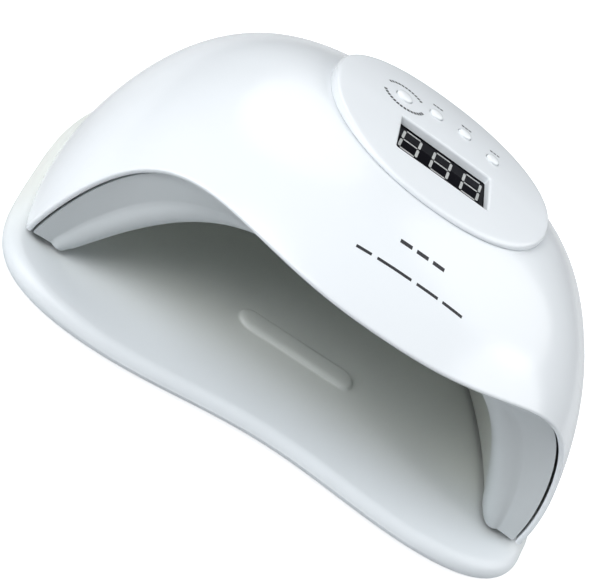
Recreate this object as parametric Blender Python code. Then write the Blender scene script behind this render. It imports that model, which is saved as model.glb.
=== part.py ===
# UV LED nail lamp: domed shell over a lift-off tray, with a reflective hand
# chamber, an oval control panel, four push buttons and the electronics inside.
# Metres, +Z up, the hand opening faces -Y. Dimensions below are in millimetres.
import bpy
import bmesh
from math import sin, cos, pi, sqrt, radians, atan2
from mathutils import Vector, Matrix

for ob in list(bpy.data.objects):
    bpy.data.objects.remove(ob, do_unlink=True)

MM = 0.001

# ---- dome ----------------------------------------------------------------
DOME_HALF_W = 110.1     # half width at the lower edge
DOME_CY = -21.28        # plan centre at the lower edge
DOME_LEAN = 8.16        # the apex sits this far behind the plan centre
DOME_Z0 = 12.85         # lower edge
DOME_H = 83.1
DOME_EXP = 2.32         # superellipse exponent of the plan
SIDE_M, SIDE_K = 1.61, 3.54
FRONT_B, FRONT_M, FRONT_K = 126.6, 1.16, 2.93
BACK_B, BACK_M, BACK_K = 115.2, 2.45, 1.93
WALL = 2.2
# ---- front arch of the dome ----------------------------------------------
ARCH_X, ARCH_H, ARCH_P, ARCH_Q = 105.7, 62.5, 5.5, 1.307
# ---- oval control panel --------------------------------------------------
PANEL_CY, PANEL_RX, PANEL_RF, PANEL_RB = -1.72, 47.7, 45.3, 41.3
PANEL_EF, PANEL_EB = 2.19, 2.08
PANEL_WALL0, PANEL_WALL1 = 1.6, 4.67
PANEL_CROWN_Z = 97.9
PANEL_SKIN = 2.0
HOLE_Q = 0.86           # opening in the dome, as a share of the panel oval
# ---- display window ------------------------------------------------------
WIN_X, WIN_Y0, WIN_Y1, WIN_DEPTH = 19.5, -27.6, -5.8, 3.3
# ---- buttons: name, x, y, cap radius, travel ------------------------------
BUTTONS = [("power_button", -20.2, 8.7, 3.2), ("timer_button_1", -6.0, 12.3, 2.7),
           ("timer_button_2", 7.2, 13.3, 2.7), ("timer_button_3", 20.4, 9.2, 2.7)]
BUTTON_TRAVEL = 0.5
# ---- chamber liner -------------------------------------------------------
MOUTH_X, MOUTH_H, MOUTH_P, MOUTH_Q = 90.7, 52.15, 3.93, 0.85
MOUTH_Y, MOUTH_Z = -61.97, 10.75
CAV_DEPTH, CAV_EXP = 129.8, 2.254
LINER_T = 1.0
LINER_GAP = 0.95
# ---- tray ----------------------------------------------------------------
TRAY_HALF_W, TRAY_F, TRAY_B = 113.6, 71.0, 118.7
TRAY_Z0, TRAY_FLOOR = 2.0, 8.8


def sgnpow(v, e):
    return (1 if v >= 0 else -1) * abs(v) ** e


def dome(u, t):
    fx = max(1 - t ** SIDE_M, 1e-9) ** (1 / SIDE_K)
    c, s = cos(u), sin(u)
    if s < 0:
        b = FRONT_B * max(1 - t ** FRONT_M, 1e-9) ** (1 / FRONT_K)
    else:
        b = BACK_B * max(1 - t ** BACK_M, 1e-9) ** (1 / BACK_K)
    return Vector((DOME_HALF_W * fx * sgnpow(c, 2 / DOME_EXP),
                   DOME_CY + DOME_LEAN * t + b * sgnpow(s, 2 / DOME_EXP),
                   DOME_Z0 + DOME_H * t))


def dome_normal(u, t):
    du, dt = 1e-4, 1e-4
    a = dome(u + du, t) - dome(u - du, t)
    t1, t0 = min(t + dt, 0.9999), max(t - dt, 0.0)
    b = dome(u, t1) - dome(u, t0)
    return a.cross(b).normalized()


def dome_z(x, y):
    a, b = 0.0, 1.0
    for _ in range(34):
        t = (a + b) / 2
        fx = max(1 - t ** SIDE_M, 1e-9) ** (1 / SIDE_K)
        yc = DOME_CY + DOME_LEAN * t
        if y < yc:
            by = FRONT_B * max(1 - t ** FRONT_M, 1e-9) ** (1 / FRONT_K)
        else:
            by = BACK_B * max(1 - t ** BACK_M, 1e-9) ** (1 / BACK_K)
        g = abs(x / (DOME_HALF_W * fx)) ** DOME_EXP + abs((y - yc) / by) ** DOME_EXP
        if g < 1:
            a = t
        else:
            b = t
    return DOME_Z0 + DOME_H * (a + b) / 2


def arch_column(x):
    # plan angle and height fraction where the arch cuts the dome
    z = ARCH_H * max(1 - abs(x / ARCH_X) ** ARCH_P, 0) ** (1 / ARCH_Q)
    t = z / DOME_H
    fx = (1 - t ** SIDE_M) ** (1 / SIDE_K)
    c = (abs(x) / (DOME_HALF_W * fx)) ** (DOME_EXP / 2)
    return atan2(-sqrt(max(1 - c * c, 0)), c if x >= 0 else -c), t


def panel_g(x, y, q):
    ry, e = (PANEL_RF, PANEL_EF) if y < PANEL_CY else (PANEL_RB, PANEL_EB)
    return abs(x / (PANEL_RX * q)) ** e + abs((y - PANEL_CY) / (ry * q)) ** e


def hole_t(u, q):
    a, b = 0.5, 1.0
    for _ in range(34):
        t = (a + b) / 2
        p = dome(u, t)
        if panel_g(p.x, p.y, q) > 1:
            a = t
        else:
            b = t
    return (a + b) / 2


def columns(n_arch, n_back):
    cols = []
    for i in range(n_arch + 1):
        cols.append(arch_column(-ARCH_X * cos(pi * i / n_arch)))
    u0 = cols[-1][0]
    for i in range(1, n_back):
        cols.append((u0 + (pi - 2 * u0) * i / n_back, 0.0))
    return cols


# ---- object helpers -------------------------------------------------------
def material(name, rgb, rough, metal=0.0):
    m = bpy.data.materials.new(name)
    m.use_nodes = True
    b = m.node_tree.nodes["Principled BSDF"]
    b.inputs["Base Color"].default_value = (rgb[0], rgb[1], rgb[2], 1)
    b.inputs["Roughness"].default_value = rough
    b.inputs["Metallic"].default_value = metal
    m.diffuse_color = (rgb[0], rgb[1], rgb[2], 1)
    return m


def finish(name, bm, mat, origin=(0, 0, 0), smooth=True, parent=None):
    bmesh.ops.recalc_face_normals(bm, faces=bm.faces)
    me = bpy.data.meshes.new(name)
    o = Vector(origin)
    for v in bm.verts:
        v.co = (v.co - o) * MM
    for f in bm.faces:
        f.smooth = smooth
    bm.to_mesh(me)
    bm.free()
    ob = bpy.data.objects.new(name, me)
    bpy.context.collection.objects.link(ob)
    if parent is not None:
        ob.parent = parent
        ob.location = o * MM - parent.location
    else:
        ob.location = o * MM
    me.materials.append(mat)
    return ob


def grid(bm, rows, closed=False):
    vs = [[bm.verts.new(p) for p in r] for r in rows]
    n = len(rows[0])
    for i in range(len(rows) - 1):
        for j in range(n if closed else n - 1):
            k = (j + 1) % n
            bm.faces.new((vs[i][j], vs[i][k], vs[i + 1][k], vs[i + 1][j]))
    return vs


def lathe(bm, profile, n, at=(0, 0, 0), axis=(0, 0, 1), phase=0.0):
    # closed turned solid; the profile runs from axis to axis as (radius, height)
    z = Vector(axis).normalized()
    x = z.orthogonal().normalized()
    y = z.cross(x)
    o = Vector(at)
    rings = []
    for r, h in profile:
        if r < 1e-6:
            rings.append([bm.verts.new(o + z * h)])
        else:
            rings.append([bm.verts.new(o + z * h + (x * cos(phase + 2 * pi * j / n) + y * sin(phase + 2 * pi * j / n)) * r)
                          for j in range(n)])
    for a, b in zip(rings, rings[1:]):
        for j in range(n):
            k = (j + 1) % n
            if len(a) == 1:
                bm.faces.new((a[0], b[j], b[k]))
            elif len(b) == 1:
                bm.faces.new((a[j], b[0], a[k]))
            else:
                bm.faces.new((a[j], b[j], b[k], a[k]))


def box(bm, lo, hi, mat4=None):
    c = [(lo[0], lo[1], lo[2]), (hi[0], lo[1], lo[2]), (hi[0], hi[1], lo[2]), (lo[0], hi[1], lo[2]),
         (lo[0], lo[1], hi[2]), (hi[0], lo[1], hi[2]), (hi[0], hi[1], hi[2]), (lo[0], hi[1], hi[2])]
    v = [bm.verts.new(mat4 @ Vector(p) if mat4 else Vector(p)) for p in c]
    for f in ((0, 3, 2, 1), (4, 5, 6, 7), (0, 1, 5, 4), (1, 2, 6, 5), (2, 3, 7, 6), (3, 0, 4, 7)):
        bm.faces.new([v[i] for i in f])


def prism(bm, outline, z0, z1, mat4=None):
    lo = [bm.verts.new(mat4 @ Vector((x, y, z0)) if mat4 else Vector((x, y, z0))) for x, y in outline]
    hi = [bm.verts.new(mat4 @ Vector((x, y, z1)) if mat4 else Vector((x, y, z1))) for x, y in outline]
    bm.faces.new(list(reversed(lo)))
    bm.faces.new(hi)
    n = len(outline)
    for j in range(n):
        k = (j + 1) % n
        bm.faces.new((lo[j], lo[k], hi[k], hi[j]))


def rounded_rect(x0, y0, x1, y1, r, n=4):
    pts = []
    for cx, cy, a0 in ((x1 - r, y1 - r, 0), (x0 + r, y1 - r, 90), (x0 + r, y0 + r, 180), (x1 - r, y0 + r, 270)):
        for i in range(n + 1):
            a = radians(a0 + 90 * i / n)
            pts.append((cx + r * cos(a), cy + r * sin(a)))
    return pts


def boolean(ob, cutter_bm, name, op):
    cut = finish(name, cutter_bm, ob.data.materials[0], smooth=False)
    cut.hide_render = True
    cut.display_type = "WIRE"
    cut.hide_viewport = False
    m = ob.modifiers.new(name, "BOOLEAN")
    m.operation = op
    m.solver = "EXACT"
    m.object = cut
    CUTTERS.append(cut)
    return m


def bake():
    # turn the modifier stacks into plain meshes, then drop the cutters
    bpy.context.view_layer.update()
    dg = bpy.context.evaluated_depsgraph_get()
    done = []
    for ob in bpy.context.scene.objects:
        if ob.type == "MESH" and ob.modifiers and ob not in CUTTERS:
            done.append((ob, bpy.data.meshes.new_from_object(ob.evaluated_get(dg))))
    for ob, me in done:
        ob.modifiers.clear()
        ob.data = me
    for c in CUTTERS:
        bpy.data.objects.remove(c, do_unlink=True)


CUTTERS = []

white = material("shell_white", (0.86, 0.88, 0.90), 0.16)
white_panel = material("panel_white", (0.87, 0.89, 0.91), 0.14)
liner_white = material("liner_white", (0.78, 0.80, 0.81), 0.28)
tray_white = material("tray_white", (0.84, 0.87, 0.89), 0.25)
button_white = material("button_white", (0.88, 0.90, 0.92), 0.2)
black_gloss = material("display_black", (0.02, 0.02, 0.025), 0.08)
module_grey = material("module_grey", (0.25, 0.26, 0.27), 0.5)
pcb_green = material("pcb_green", (0.03, 0.22, 0.10), 0.45)
pcb_white = material("pcb_white", (0.85, 0.86, 0.84), 0.5)
led_clear = material("led_clear", (0.80, 0.76, 0.92), 0.05)
chip_black = material("chip_black", (0.03, 0.03, 0.03), 0.5)
can_metal = material("can_metal", (0.72, 0.73, 0.75), 0.3, 1.0)
steel = material("screw_steel", (0.62, 0.63, 0.65), 0.35, 1.0)
nickel = material("magnet_nickel", (0.70, 0.70, 0.70), 0.2, 1.0)
rubber = material("foot_rubber", (0.05, 0.05, 0.05), 0.85)
frame_white = material("frame_white", (0.72, 0.74, 0.75), 0.5)
wire_red = material("wire_red", (0.55, 0.03, 0.03), 0.5)
wire_grey = material("wire_grey", (0.45, 0.46, 0.48), 0.5)
switch_black = material("switch_black", (0.05, 0.05, 0.055), 0.45)
sensor_dark = material("sensor_dark", (0.06, 0.02, 0.05), 0.15)
jack_black = material("jack_black", (0.03, 0.03, 0.035), 0.4)

# ---- assemblies: the tray stays on the table, the lamp lifts off it --------
def empty(name, loc_mm, parent=None):
    e = bpy.data.objects.new(name, None)
    bpy.context.collection.objects.link(e)
    e.location = Vector(loc_mm) * MM
    e.parent = parent
    return e


tray_asm = empty("tray_assembly", (0, 0, 0))
lamp_asm = empty("lamp_assembly", (0, 0, 0))

# ---- outer shell ----------------------------------------------------------
cols = columns(32, 32)
NR = 10
rows = []
for i in range(NR + 1):
    tau = 1 - (1 - i / NR) ** 2.0
    r = []
    for u, t0 in cols:
        th = hole_t(u, HOLE_Q)
        r.append(dome(u, t0 + (th - t0) * tau))
    rows.append(r)
bm = bmesh.new()
grid(bm, rows, closed=True)
shell = finish("outer_shell", bm, white, parent=lamp_asm)
sol = shell.modifiers.new("wall", "SOLIDIFY")
sol.thickness = WALL * MM
sol.offset = -1
sol.use_even_offset = True

# bosses inside the shell: four for the lower frame, four for the main board
FRAME_BOSSES = []
for deg in (12, 62, 118, 168):
    u = radians(deg)
    p = dome(u, 0.0)
    n = dome_normal(u, 0.0)
    q = p - n * (WALL + 3.2)
    FRAME_BOSSES.append((q.x, q.y))
bm = bmesh.new()
for x, y in FRAME_BOSSES:
    lathe(bm, [(0, 15.6), (3.4, 15.6), (3.4, 24.5), (0, 24.5)], 12, (x, y, 0))
BOARD_Z = 72.3
BOARD_POSTS = [(-50, -17), (50, -17), (-50, 17), (50, 17)]
for x, y in BOARD_POSTS:
    top = dome_z(x, y) - WALL * 1.04 + 0.9
    lathe(bm, [(0, BOARD_Z + 1.9), (3.0, BOARD_Z + 1.9), (3.0, top), (0, top)], 12, (x, y, 0))
boolean(shell, bm, "shell_bosses", "UNION")

JACK_Z, JACK_X = 27.0, 0.0
bm = bmesh.new()
lathe(bm, [(0, 60.0), (5.4, 60.0), (5.4, 130.0), (0, 130.0)], 16, (JACK_X, 0, JACK_Z), (0, 1, 0))
for side in (-1, 1):
    for k in range(6):
        x = side * (20.0 + 5.0 * k)
        pts = rounded_rect(x - 1.1, 31.0, x + 1.1, 49.0, 1.05, 2)
        m4 = Matrix(((1, 0, 0, 0), (0, 0, 1, 0), (0, 1, 0, 0), (0, 0, 0, 1)))
        prism(bm, pts, 50.0, 120.0, m4)
for x, y in FRAME_BOSSES:
    lathe(bm, [(0, 10.0), (1.55, 10.0), (1.55, 22.8), (0, 22.8)], 10, (x, y, 0))
for x, y in BOARD_POSTS:
    lathe(bm, [(0, BOARD_Z - 4), (1.3, BOARD_Z - 4), (1.3, BOARD_Z + 10.0), (0, BOARD_Z + 10.0)], 10, (x, y, 0))
boolean(shell, bm, "shell_openings", "DIFFERENCE")

# ---- control panel --------------------------------------------------------
NP = 44


def panel_edge(a, q):
    c, s = cos(a), sin(a)
    e, ry = (PANEL_EF, PANEL_RF) if s < 0 else (PANEL_EB, PANEL_RB)
    return (PANEL_RX * q * sgnpow(c, 2 / e), PANEL_CY + ry * q * sgnpow(s, 2 / e))


def panel_edge_z(a):
    x, y = panel_edge(a, 1.0)
    return dome_z(x, y) + PANEL_WALL0 + PANEL_WALL1 * max((y - PANEL_CY + PANEL_RF) / 80, 0)


def panel_top(a, q):
    return panel_edge_z(a) * q * q + PANEL_CROWN_Z * (1 - q * q)


def panel_top_xy(x, y):
    a = 0.0
    ry = PANEL_RF if y < PANEL_CY else PANEL_RB
    a = atan2((y - PANEL_CY) / ry, x / PANEL_RX)
    q = sqrt((x / PANEL_RX) ** 2 + ((y - PANEL_CY) / ry) ** 2)
    return panel_top(a, q)


bm = bmesh.new()
top_q = [(0.2, 0), (0.4, 0), (0.6, 0), (0.75, 0), (0.86, 0), (0.94, 0), (0.975, 0.05), (0.992, 0.3), (1.0, 0.8)]
rows = []
for q, drop in top_q:
    rows.append([Vector((*panel_edge(2 * pi * j / NP, q), panel_top(2 * pi * j / NP, q) - drop)) for j in range(NP)])
# skirt foot and flange underside follow the dome
for q in (1.0, 0.93, 0.875):
    r = []
    for j in range(NP):
        x, y = panel_edge(2 * pi * j / NP, q)
        r.append(Vector((x, y, dome_z(x, y) + 0.32)))
    rows.append(r)
for q in (0.80, 0.6, 0.4, 0.2):
    rows.append([Vector((*panel_edge(2 * pi * j / NP, q), panel_top(2 * pi * j / NP, q) - PANEL_SKIN)) for j in range(NP)])
vs = grid(bm, rows, closed=True)
ct = bm.verts.new((0, PANEL_CY, PANEL_CROWN_Z))
cb = bm.verts.new((0, PANEL_CY, PANEL_CROWN_Z - PANEL_SKIN))
for j in range(NP):
    k = (j + 1) % NP
    bm.faces.new((ct, vs[0][j], vs[0][k]))
    bm.faces.new((cb, vs[-1][k], vs[-1][j]))
panel = finish("control_panel", bm, white_panel, parent=lamp_asm)

WIN_Z = panel_top_xy(0, (WIN_Y0 + WIN_Y1) / 2)          # panel height at the window
FACE_Z = WIN_Z - WIN_DEPTH                               # top of the display filter
BB_Z1 = FACE_Z - 5.2                                     # top of the button board
bm = bmesh.new()
lo, hi = [], []
for x, y in rounded_rect(-WIN_X - 2.0, WIN_Y0 - 2.0, WIN_X + 2.0, WIN_Y1 + 2.0, 1.5, 2):
    lo.append(bm.verts.new((x, y, FACE_Z + 0.3)))
    hi.append(bm.verts.new((x, y, panel_top_xy(x, y) - 1.0)))
bm.faces.new(list(reversed(lo)))
crown = bm.verts.new((0, (WIN_Y0 + WIN_Y1) / 2, WIN_Z - 1.0))
for j in range(len(lo)):
    k = (j + 1) % len(lo)
    bm.faces.new((lo[j], lo[k], hi[k], hi[j]))
    bm.faces.new((crown, hi[j], hi[k]))
PANEL_POSTS = [(-28.5, -17), (28.5, -17), (-28, 13.5), (28, 13.5)]
for x, y in PANEL_POSTS:
    lathe(bm, [(0, BB_Z1 + 0.3), (2.6, BB_Z1 + 0.3), (2.6, panel_top_xy(x, y) - 1.0), (0, panel_top_xy(x, y) - 1.0)], 12, (x, y, 0))
boolean(panel, bm, "panel_collar", "UNION")
bm = bmesh.new()
prism(bm, rounded_rect(-WIN_X, WIN_Y0, WIN_X, WIN_Y1, 1.2, 3), FACE_Z - 2, WIN_Z + 4)
for name, x, y, r in BUTTONS:
    lathe(bm, [(0, 85), (r + 0.35, 85), (r + 0.35, 104), (0, 104)], 14, (x, y, 0))
for x, y in PANEL_POSTS:
    lathe(bm, [(0, BB_Z1 - 2), (1.2, BB_Z1 - 2), (1.2, panel_top_xy(x, y) - 2.2), (0, panel_top_xy(x, y) - 2.2)], 8, (x, y, 0))
boolean(panel, bm, "panel_openings", "DIFFERENCE")

# ---- display --------------------------------------------------------------
bm = bmesh.new()
prism(bm, rounded_rect(-WIN_X - 1.6, WIN_Y0 - 1.6, WIN_X + 1.6, WIN_Y1 + 1.6, 1.0, 2), FACE_Z - 0.8, FACE_Z)
finish("display_filter", bm, black_gloss, parent=lamp_asm, smooth=False)
bm = bmesh.new()
box(bm, (-18.5, WIN_Y0 + 0.8, BB_Z1 + 0.3), (18.5, WIN_Y1 - 0.8, FACE_Z - 1.1))
finish("display_module", bm, module_grey, parent=lamp_asm, smooth=False)

# ---- buttons --------------------------------------------------------------
SWITCH_TOP = BB_Z1 + 2.6
button_tops = {}
for name, x, y, r in BUTTONS:
    zt = panel_top_xy(x, y)
    button_tops[name] = zt
    under = zt - PANEL_SKIN - 0.35
    bm = bmesh.new()
    prof = [(0, SWITCH_TOP + BUTTON_TRAVEL + 0.3), (1.3, SWITCH_TOP + BUTTON_TRAVEL + 0.3), (1.3, under - 0.8),
            (r + 0.9, under - 0.8), (r + 0.9, under), (r, under), (r, zt + 0.25), (r * 0.93, zt + 0.6), (r * 0.7, zt + 0.95),
            (r * 0.35, zt + 1.15), (0, zt + 1.2)]
    lathe(bm, prof, 12, (x, y, 0))
    finish(name, bm, button_white, origin=(x, y, zt), parent=lamp_asm)

# ---- button board with its switches and screws ---------------------------
bm = bmesh.new()
prism(bm, rounded_rect(-34, -27, 34, 20, 9, 4), BB_Z1 - 1.6, BB_Z1)
bb = finish("button_board", bm, pcb_green, parent=lamp_asm, smooth=False)
bm = bmesh.new()
for x, y in PANEL_POSTS:
    lathe(bm, [(0, BB_Z1 - 4), (1.4, BB_Z1 - 4), (1.4, BB_Z1 + 4), (0, BB_Z1 + 4)], 10, (x, y, 0))
boolean(bb, bm, "button_board_holes", "DIFFERENCE")
for i, (name, x, y, r) in enumerate(BUTTONS):
    bm = bmesh.new()
    # square body with the plunger standing on it
    lo, hi, zb = BB_Z1 + 0.3, BB_Z1 + 1.9, 8
    sq = [bm.verts.new((x + sx * 3, y + sy * 3, lo)) for sx, sy in ((1, 1), (-1, 1), (-1, -1), (1, -1))]
    su = [bm.verts.new((x + sx * 3, y + sy * 3, hi)) for sx, sy in ((1, 1), (-1, 1), (-1, -1), (1, -1))]
    ra = [bm.verts.new((x + 1.2 * cos(pi / 4 + 2 * pi * j / zb), y + 1.2 * sin(pi / 4 + 2 * pi * j / zb), hi)) for j in range(zb)]
    rt = [bm.verts.new((v.co.x, v.co.y, SWITCH_TOP)) for v in ra]
    bm.faces.new(list(reversed(sq)))
    for j in range(4):
        k = (j + 1) % 4
        bm.faces.new((sq[j], sq[k], su[k], su[j]))
        bm.faces.new((su[j], su[k], ra[(2 * j + 2) % zb], ra[2 * j + 1], ra[2 * j]))
    for j in range(zb):
        k = (j + 1) % zb
        bm.faces.new((ra[j], ra[k], rt[k], rt[j]))
    bm.faces.new(rt)
    finish("tact_switch_%d" % (i + 1), bm, switch_black, parent=lamp_asm, smooth=False)


def screw(bm, x, y, z_under, up, head_r, head_h, shank_r, length, n=8):
    # pan head below the joint, shank upwards
    lathe(bm, [(0, z_under - head_h), (head_r, z_under - head_h * 0.6),
               (head_r, z_under), (shank_r, z_under), (shank_r, z_under + length)  , (0, z_under + length)], n, (x, y, 0))


for i, (x, y) in enumerate(PANEL_POSTS):
    bm = bmesh.new()
    screw(bm, x, y, BB_Z1 - 1.9, 1, 2.2, 1.3, 0.85, 6.6)
    finish("button_board_screw_%d" % (i + 1), bm, steel, parent=lamp_asm)

# ---- main board -----------------------------------------------------------
bm = bmesh.new()
prism(bm, rounded_rect(-56, -22, 56, 22, 2, 2), BOARD_Z, BOARD_Z + 1.6)
mb = finish("main_board", bm, pcb_green, parent=lamp_asm, smooth=False)
bm = bmesh.new()
for x, y in BOARD_POSTS:
    lathe(bm, [(0, BOARD_Z - 4), (1.5, BOARD_Z - 4), (1.5, BOARD_Z + 6), (0, BOARD_Z + 6)], 10, (x, y, 0))
boolean(mb, bm, "main_board_holes", "DIFFERENCE")
for i, (x, y) in enumerate(BOARD_POSTS):
    bm = bmesh.new()
    screw(bm, x, y, BOARD_Z - 0.3, 1, 2.4, 1.4, 0.95, 9.0)
    finish("main_board_screw_%d" % (i + 1), bm, steel, parent=lamp_asm)
Z1 = BOARD_Z + 1.9
for i, (x, y, r, h) in enumerate(((-30, 8, 5, 10.5), (-17, 8, 4, 9.0))):
    bm = bmesh.new()
    lathe(bm, [(0, Z1), (r, Z1), (r, Z1 + h - 0.5), (r - 0.5, Z1 + h), (0, Z1 + h)], 10, (x, y, 0))
    finish("board_capacitor_%d" % (i + 1), bm, can_metal, parent=lamp_asm)
for name, lo, hi, mat in (("controller_chip", (-2, -8, Z1), (8, -1, Z1 + 1.6), chip_black),
                          ("power_inductor", (-26, -12, Z1), (-19, -5, Z1 + 4.0), chip_black),
                          ("ribbon_connector", (12, 8, Z1), (28, 13, Z1 + 5.0), pcb_white),
                          ("power_connector", (-6, 14, Z1), (6, 19, Z1 + 5.0), pcb_white),
                          ("led_connector", (-46, -4, Z1), (-41, 6, Z1 + 5.0), pcb_white)):
    bm = bmesh.new()
    box(bm, lo, hi)
    finish(name, bm, mat, parent=lamp_asm, smooth=False)

# ---- chamber liner --------------------------------------------------------
def mouth_pt(th):
    x = MOUTH_X * cos(th)
    z = MOUTH_Z + MOUTH_H * max(1 - abs(cos(th)) ** MOUTH_P, 0) ** (1 / MOUTH_Q)
    return Vector((x, MOUTH_Y, z))


def chamber(th, ph):
    m = mouth_pt(th)
    cx = max(cos(ph), 0) ** (2 / CAV_EXP)
    cz = max(cos(ph), 0) ** 0.4
    cy = max(sin(ph), 0) ** (2 / CAV_EXP)
    return Vector((m.x * cx, MOUTH_Y + CAV_DEPTH * cy, MOUTH_Z + (m.z - MOUTH_Z) * cz))


def chamber_normal(th, ph):
    d = 1e-3
    a = chamber(th + d, ph) - chamber(th - d, ph)
    b = chamber(th, ph + d) - chamber(th, ph - d)
    n = a.cross(b).normalized()
    c = Vector((0, 10, 25))
    if n.dot(c - chamber(th, ph)) < 0:
        n = -n
    return n


def flange_edge(th):
    # just inside the lip of the shell, following its arch
    u, t = arch_column(ARCH_X * cos(th))
    tt = t + 1.2 / DOME_H * (1 if t > 0.02 else 0)
    p = dome(u, tt) - dome_normal(u, max(tt, 1e-3)) * (WALL + LINER_GAP)
    p.z = max(p.z, MOUTH_Z + 0.55)
    return p


PH1 = radians(4.5)
NT = 32


def liner_rows(nt, n_flange, n_corner, n_deep):
    rows = []
    ths = [pi * j / nt for j in range(nt + 1)]
    for i in range(n_flange):
        f = 0.55 * i / n_flange
        rows.append([flange_edge(th).lerp(mouth_pt(th), f) for th in ths])
    for i in range(n_corner + 1):
        s = i / n_corner
        r = []
        for th in ths:
            a = flange_edge(th).lerp(mouth_pt(th), 0.55)
            c = chamber(th, PH1)
            m = mouth_pt(th) * 2 - (a + c) * 0.5
            m.z = max(m.z, MOUTH_Z)
            r.append(a * (1 - s) ** 2 + m * 2 * s * (1 - s) + c * s * s)
        rows.append(r)
    for i in range(1, n_deep):
        ph = PH1 + (radians(86) - PH1) * i / (n_deep - 1)
        rows.append([chamber(th, ph) for th in ths])
    return rows


bm = bmesh.new()
rows = liner_rows(NT, 2, 3, 8)
vs = grid(bm, rows)
pole = bm.verts.new((0, MOUTH_Y + CAV_DEPTH, MOUTH_Z))
for j in range(NT):
    bm.faces.new((vs[-1][j], vs[-1][j + 1], pole))
bmesh.ops.recalc_face_normals(bm, faces=bm.faces)
# normals face the chamber, so the wall grows away from it
ref = max(bm.faces, key=lambda f: f.calc_center_median().z)
if ref.normal.z > 0:
    bmesh.ops.reverse_faces(bm, faces=bm.faces)
me = bpy.data.meshes.new("inner_liner")
for v in bm.verts:
    v.co = v.co * MM
for f in bm.faces:
    f.smooth = True
bm.to_mesh(me)
bm.free()
liner = bpy.data.objects.new("inner_liner", me)
bpy.context.collection.objects.link(liner)
liner.parent = lamp_asm
me.materials.append(liner_white)
sol = liner.modifiers.new("wall", "SOLIDIFY")
sol.thickness = LINER_T * MM
sol.offset = -1
sol.use_even_offset = False

LED_ROWS = [(16, 10, 30), (32, 10, 30), (48, 9, 32), (64, 7, 38)]   # depth angle, count, first arc angle
leds = []
for k, (ph, n, a0) in enumerate(LED_ROWS):
    for i in range(n):
        th = radians(a0 + (180 - 2 * a0) * i / (n - 1))
        leds.append((chamber(th, radians(ph)), chamber_normal(th, radians(ph))))
SENSOR_TH, SENSOR_PH = radians(90), radians(24)
sp, sn = chamber(SENSOR_TH, SENSOR_PH), chamber_normal(SENSOR_TH, SENSOR_PH)
bm = bmesh.new()
for p, n in leds:
    lathe(bm, [(0, -3.0), (1.95, -3.0), (1.95, 2.5), (0, 2.5)], 8, p, n)
lathe(bm, [(0, -4.0), (2.9, -4.0), (2.9, 3.0), (0, 3.0)], 16, sp, sn)
boolean(liner, bm, "liner_holes", "DIFFERENCE")

for k, (ph, n, a0) in enumerate(LED_ROWS):
    bm = bmesh.new()
    a1 = a0 - 6
    ns = 14
    outer, inner = [], []
    for w in (-4.0, 0.0, 4.0):
        ro, ri = [], []
        for i in range(ns + 1):
            th = radians(a1 + (180 - 2 * a1) * i / ns)
            c = chamber(th, radians(ph))
            nn = chamber_normal(th, radians(ph))
            tang = (chamber(th, radians(ph) + 1e-3) - chamber(th, radians(ph) - 1e-3)).normalized()
            ri.append(c + tang * w - nn * 2.75)
            ro.append(c + tang * w - nn * 3.55)
        inner.append(ri)
        outer.append(ro)
    vi, vo = grid(bm, inner), grid(bm, outer)
    for a, b in ((vi[0], vo[0]), (vi[-1], vo[-1])):
        for i in range(ns):
            bm.faces.new((a[i], a[i + 1], b[i + 1], b[i]))
    for e in (0, -1):
        for w in range(2):
            bm.faces.new((vi[w][e], vi[w + 1][e], vo[w + 1][e], vo[w][e]))
    strip = finish("led_strip_%d" % (k + 1), bm, pcb_white, parent=lamp_asm, smooth=False)
    # the LED packages soldered on the strip, each lens reaching through its hole
    bm = bmesh.new()
    for i in range(n):
        th = radians(a0 + (180 - 2 * a0) * i / (n - 1))
        p, nn = chamber(th, radians(ph)), chamber_normal(th, radians(ph))
        lathe(bm, [(0, -3.2), (1.5, -3.2), (1.5, 0.3), (0, 1.1)], 6, p, nn)
    boolean(strip, bm, "led_packages_%d" % (k + 1), "UNION")

# ---- hand sensor ----------------------------------------------------------
bm = bmesh.new()
lathe(bm, [(0, -5.4), (3.6, -5.4), (3.6, -1.5), (2.45, -1.5), (2.45, 0.2), (1.9, 0.9), (0, 1.3)], 16, sp, sn)
finish("hand_sensor", bm, sensor_dark, parent=lamp_asm)
bm = bmesh.new()
zz = sn
xx = zz.orthogonal().normalized()
yy = zz.cross(xx)
m4 = Matrix(((xx.x, yy.x, zz.x, sp.x), (xx.y, yy.y, zz.y, sp.y), (xx.z, yy.z, zz.z, sp.z), (0, 0, 0, 1)))
box(bm, (-6, -5, -6.9), (6, 5, -5.7), m4)
finish("sensor_board", bm, pcb_green, parent=lamp_asm, smooth=False)

# ---- DC inlet -------------------------------------------------------------
YB = dome(radians(90), (JACK_Z - DOME_Z0) / DOME_H).y
bm = bmesh.new()
lathe(bm, [(0, -14.0), (6.8, -14.0), (6.8, -WALL - 1.4), (5.0, -WALL - 1.4), (5.0, 0.7), (4.6, 1.0), (3.2, 1.0),
           (2.9, 0.6), (2.9, -9.5), (1.1, -9.5), (1.1, -1.0), (0, -0.6)], 16, (JACK_X, YB, JACK_Z), (0, 1, 0))
finish("dc_inlet", bm, jack_black, parent=lamp_asm)

# ---- lower frame, its screws and the magnets ------------------------------
def shell_plan(u, inset):
    p, n = dome(u, 0.02), dome_normal(u, 0.02)
    n.z = 0
    q = p - n.normalized() * inset
    return q.x, q.y


def cavity_plan(a, out):
    d = 1e-3
    f = lambda v: Vector((MOUTH_X * sgnpow(cos(v), 2 / CAV_EXP), MOUTH_Y + CAV_DEPTH * max(sin(v), 0) ** (2 / CAV_EXP)))
    t = f(a + d) - f(a - d)
    n = Vector((t.y, -t.x)).normalized()
    q = f(a) + n * out
    return q.x, q.y


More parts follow.
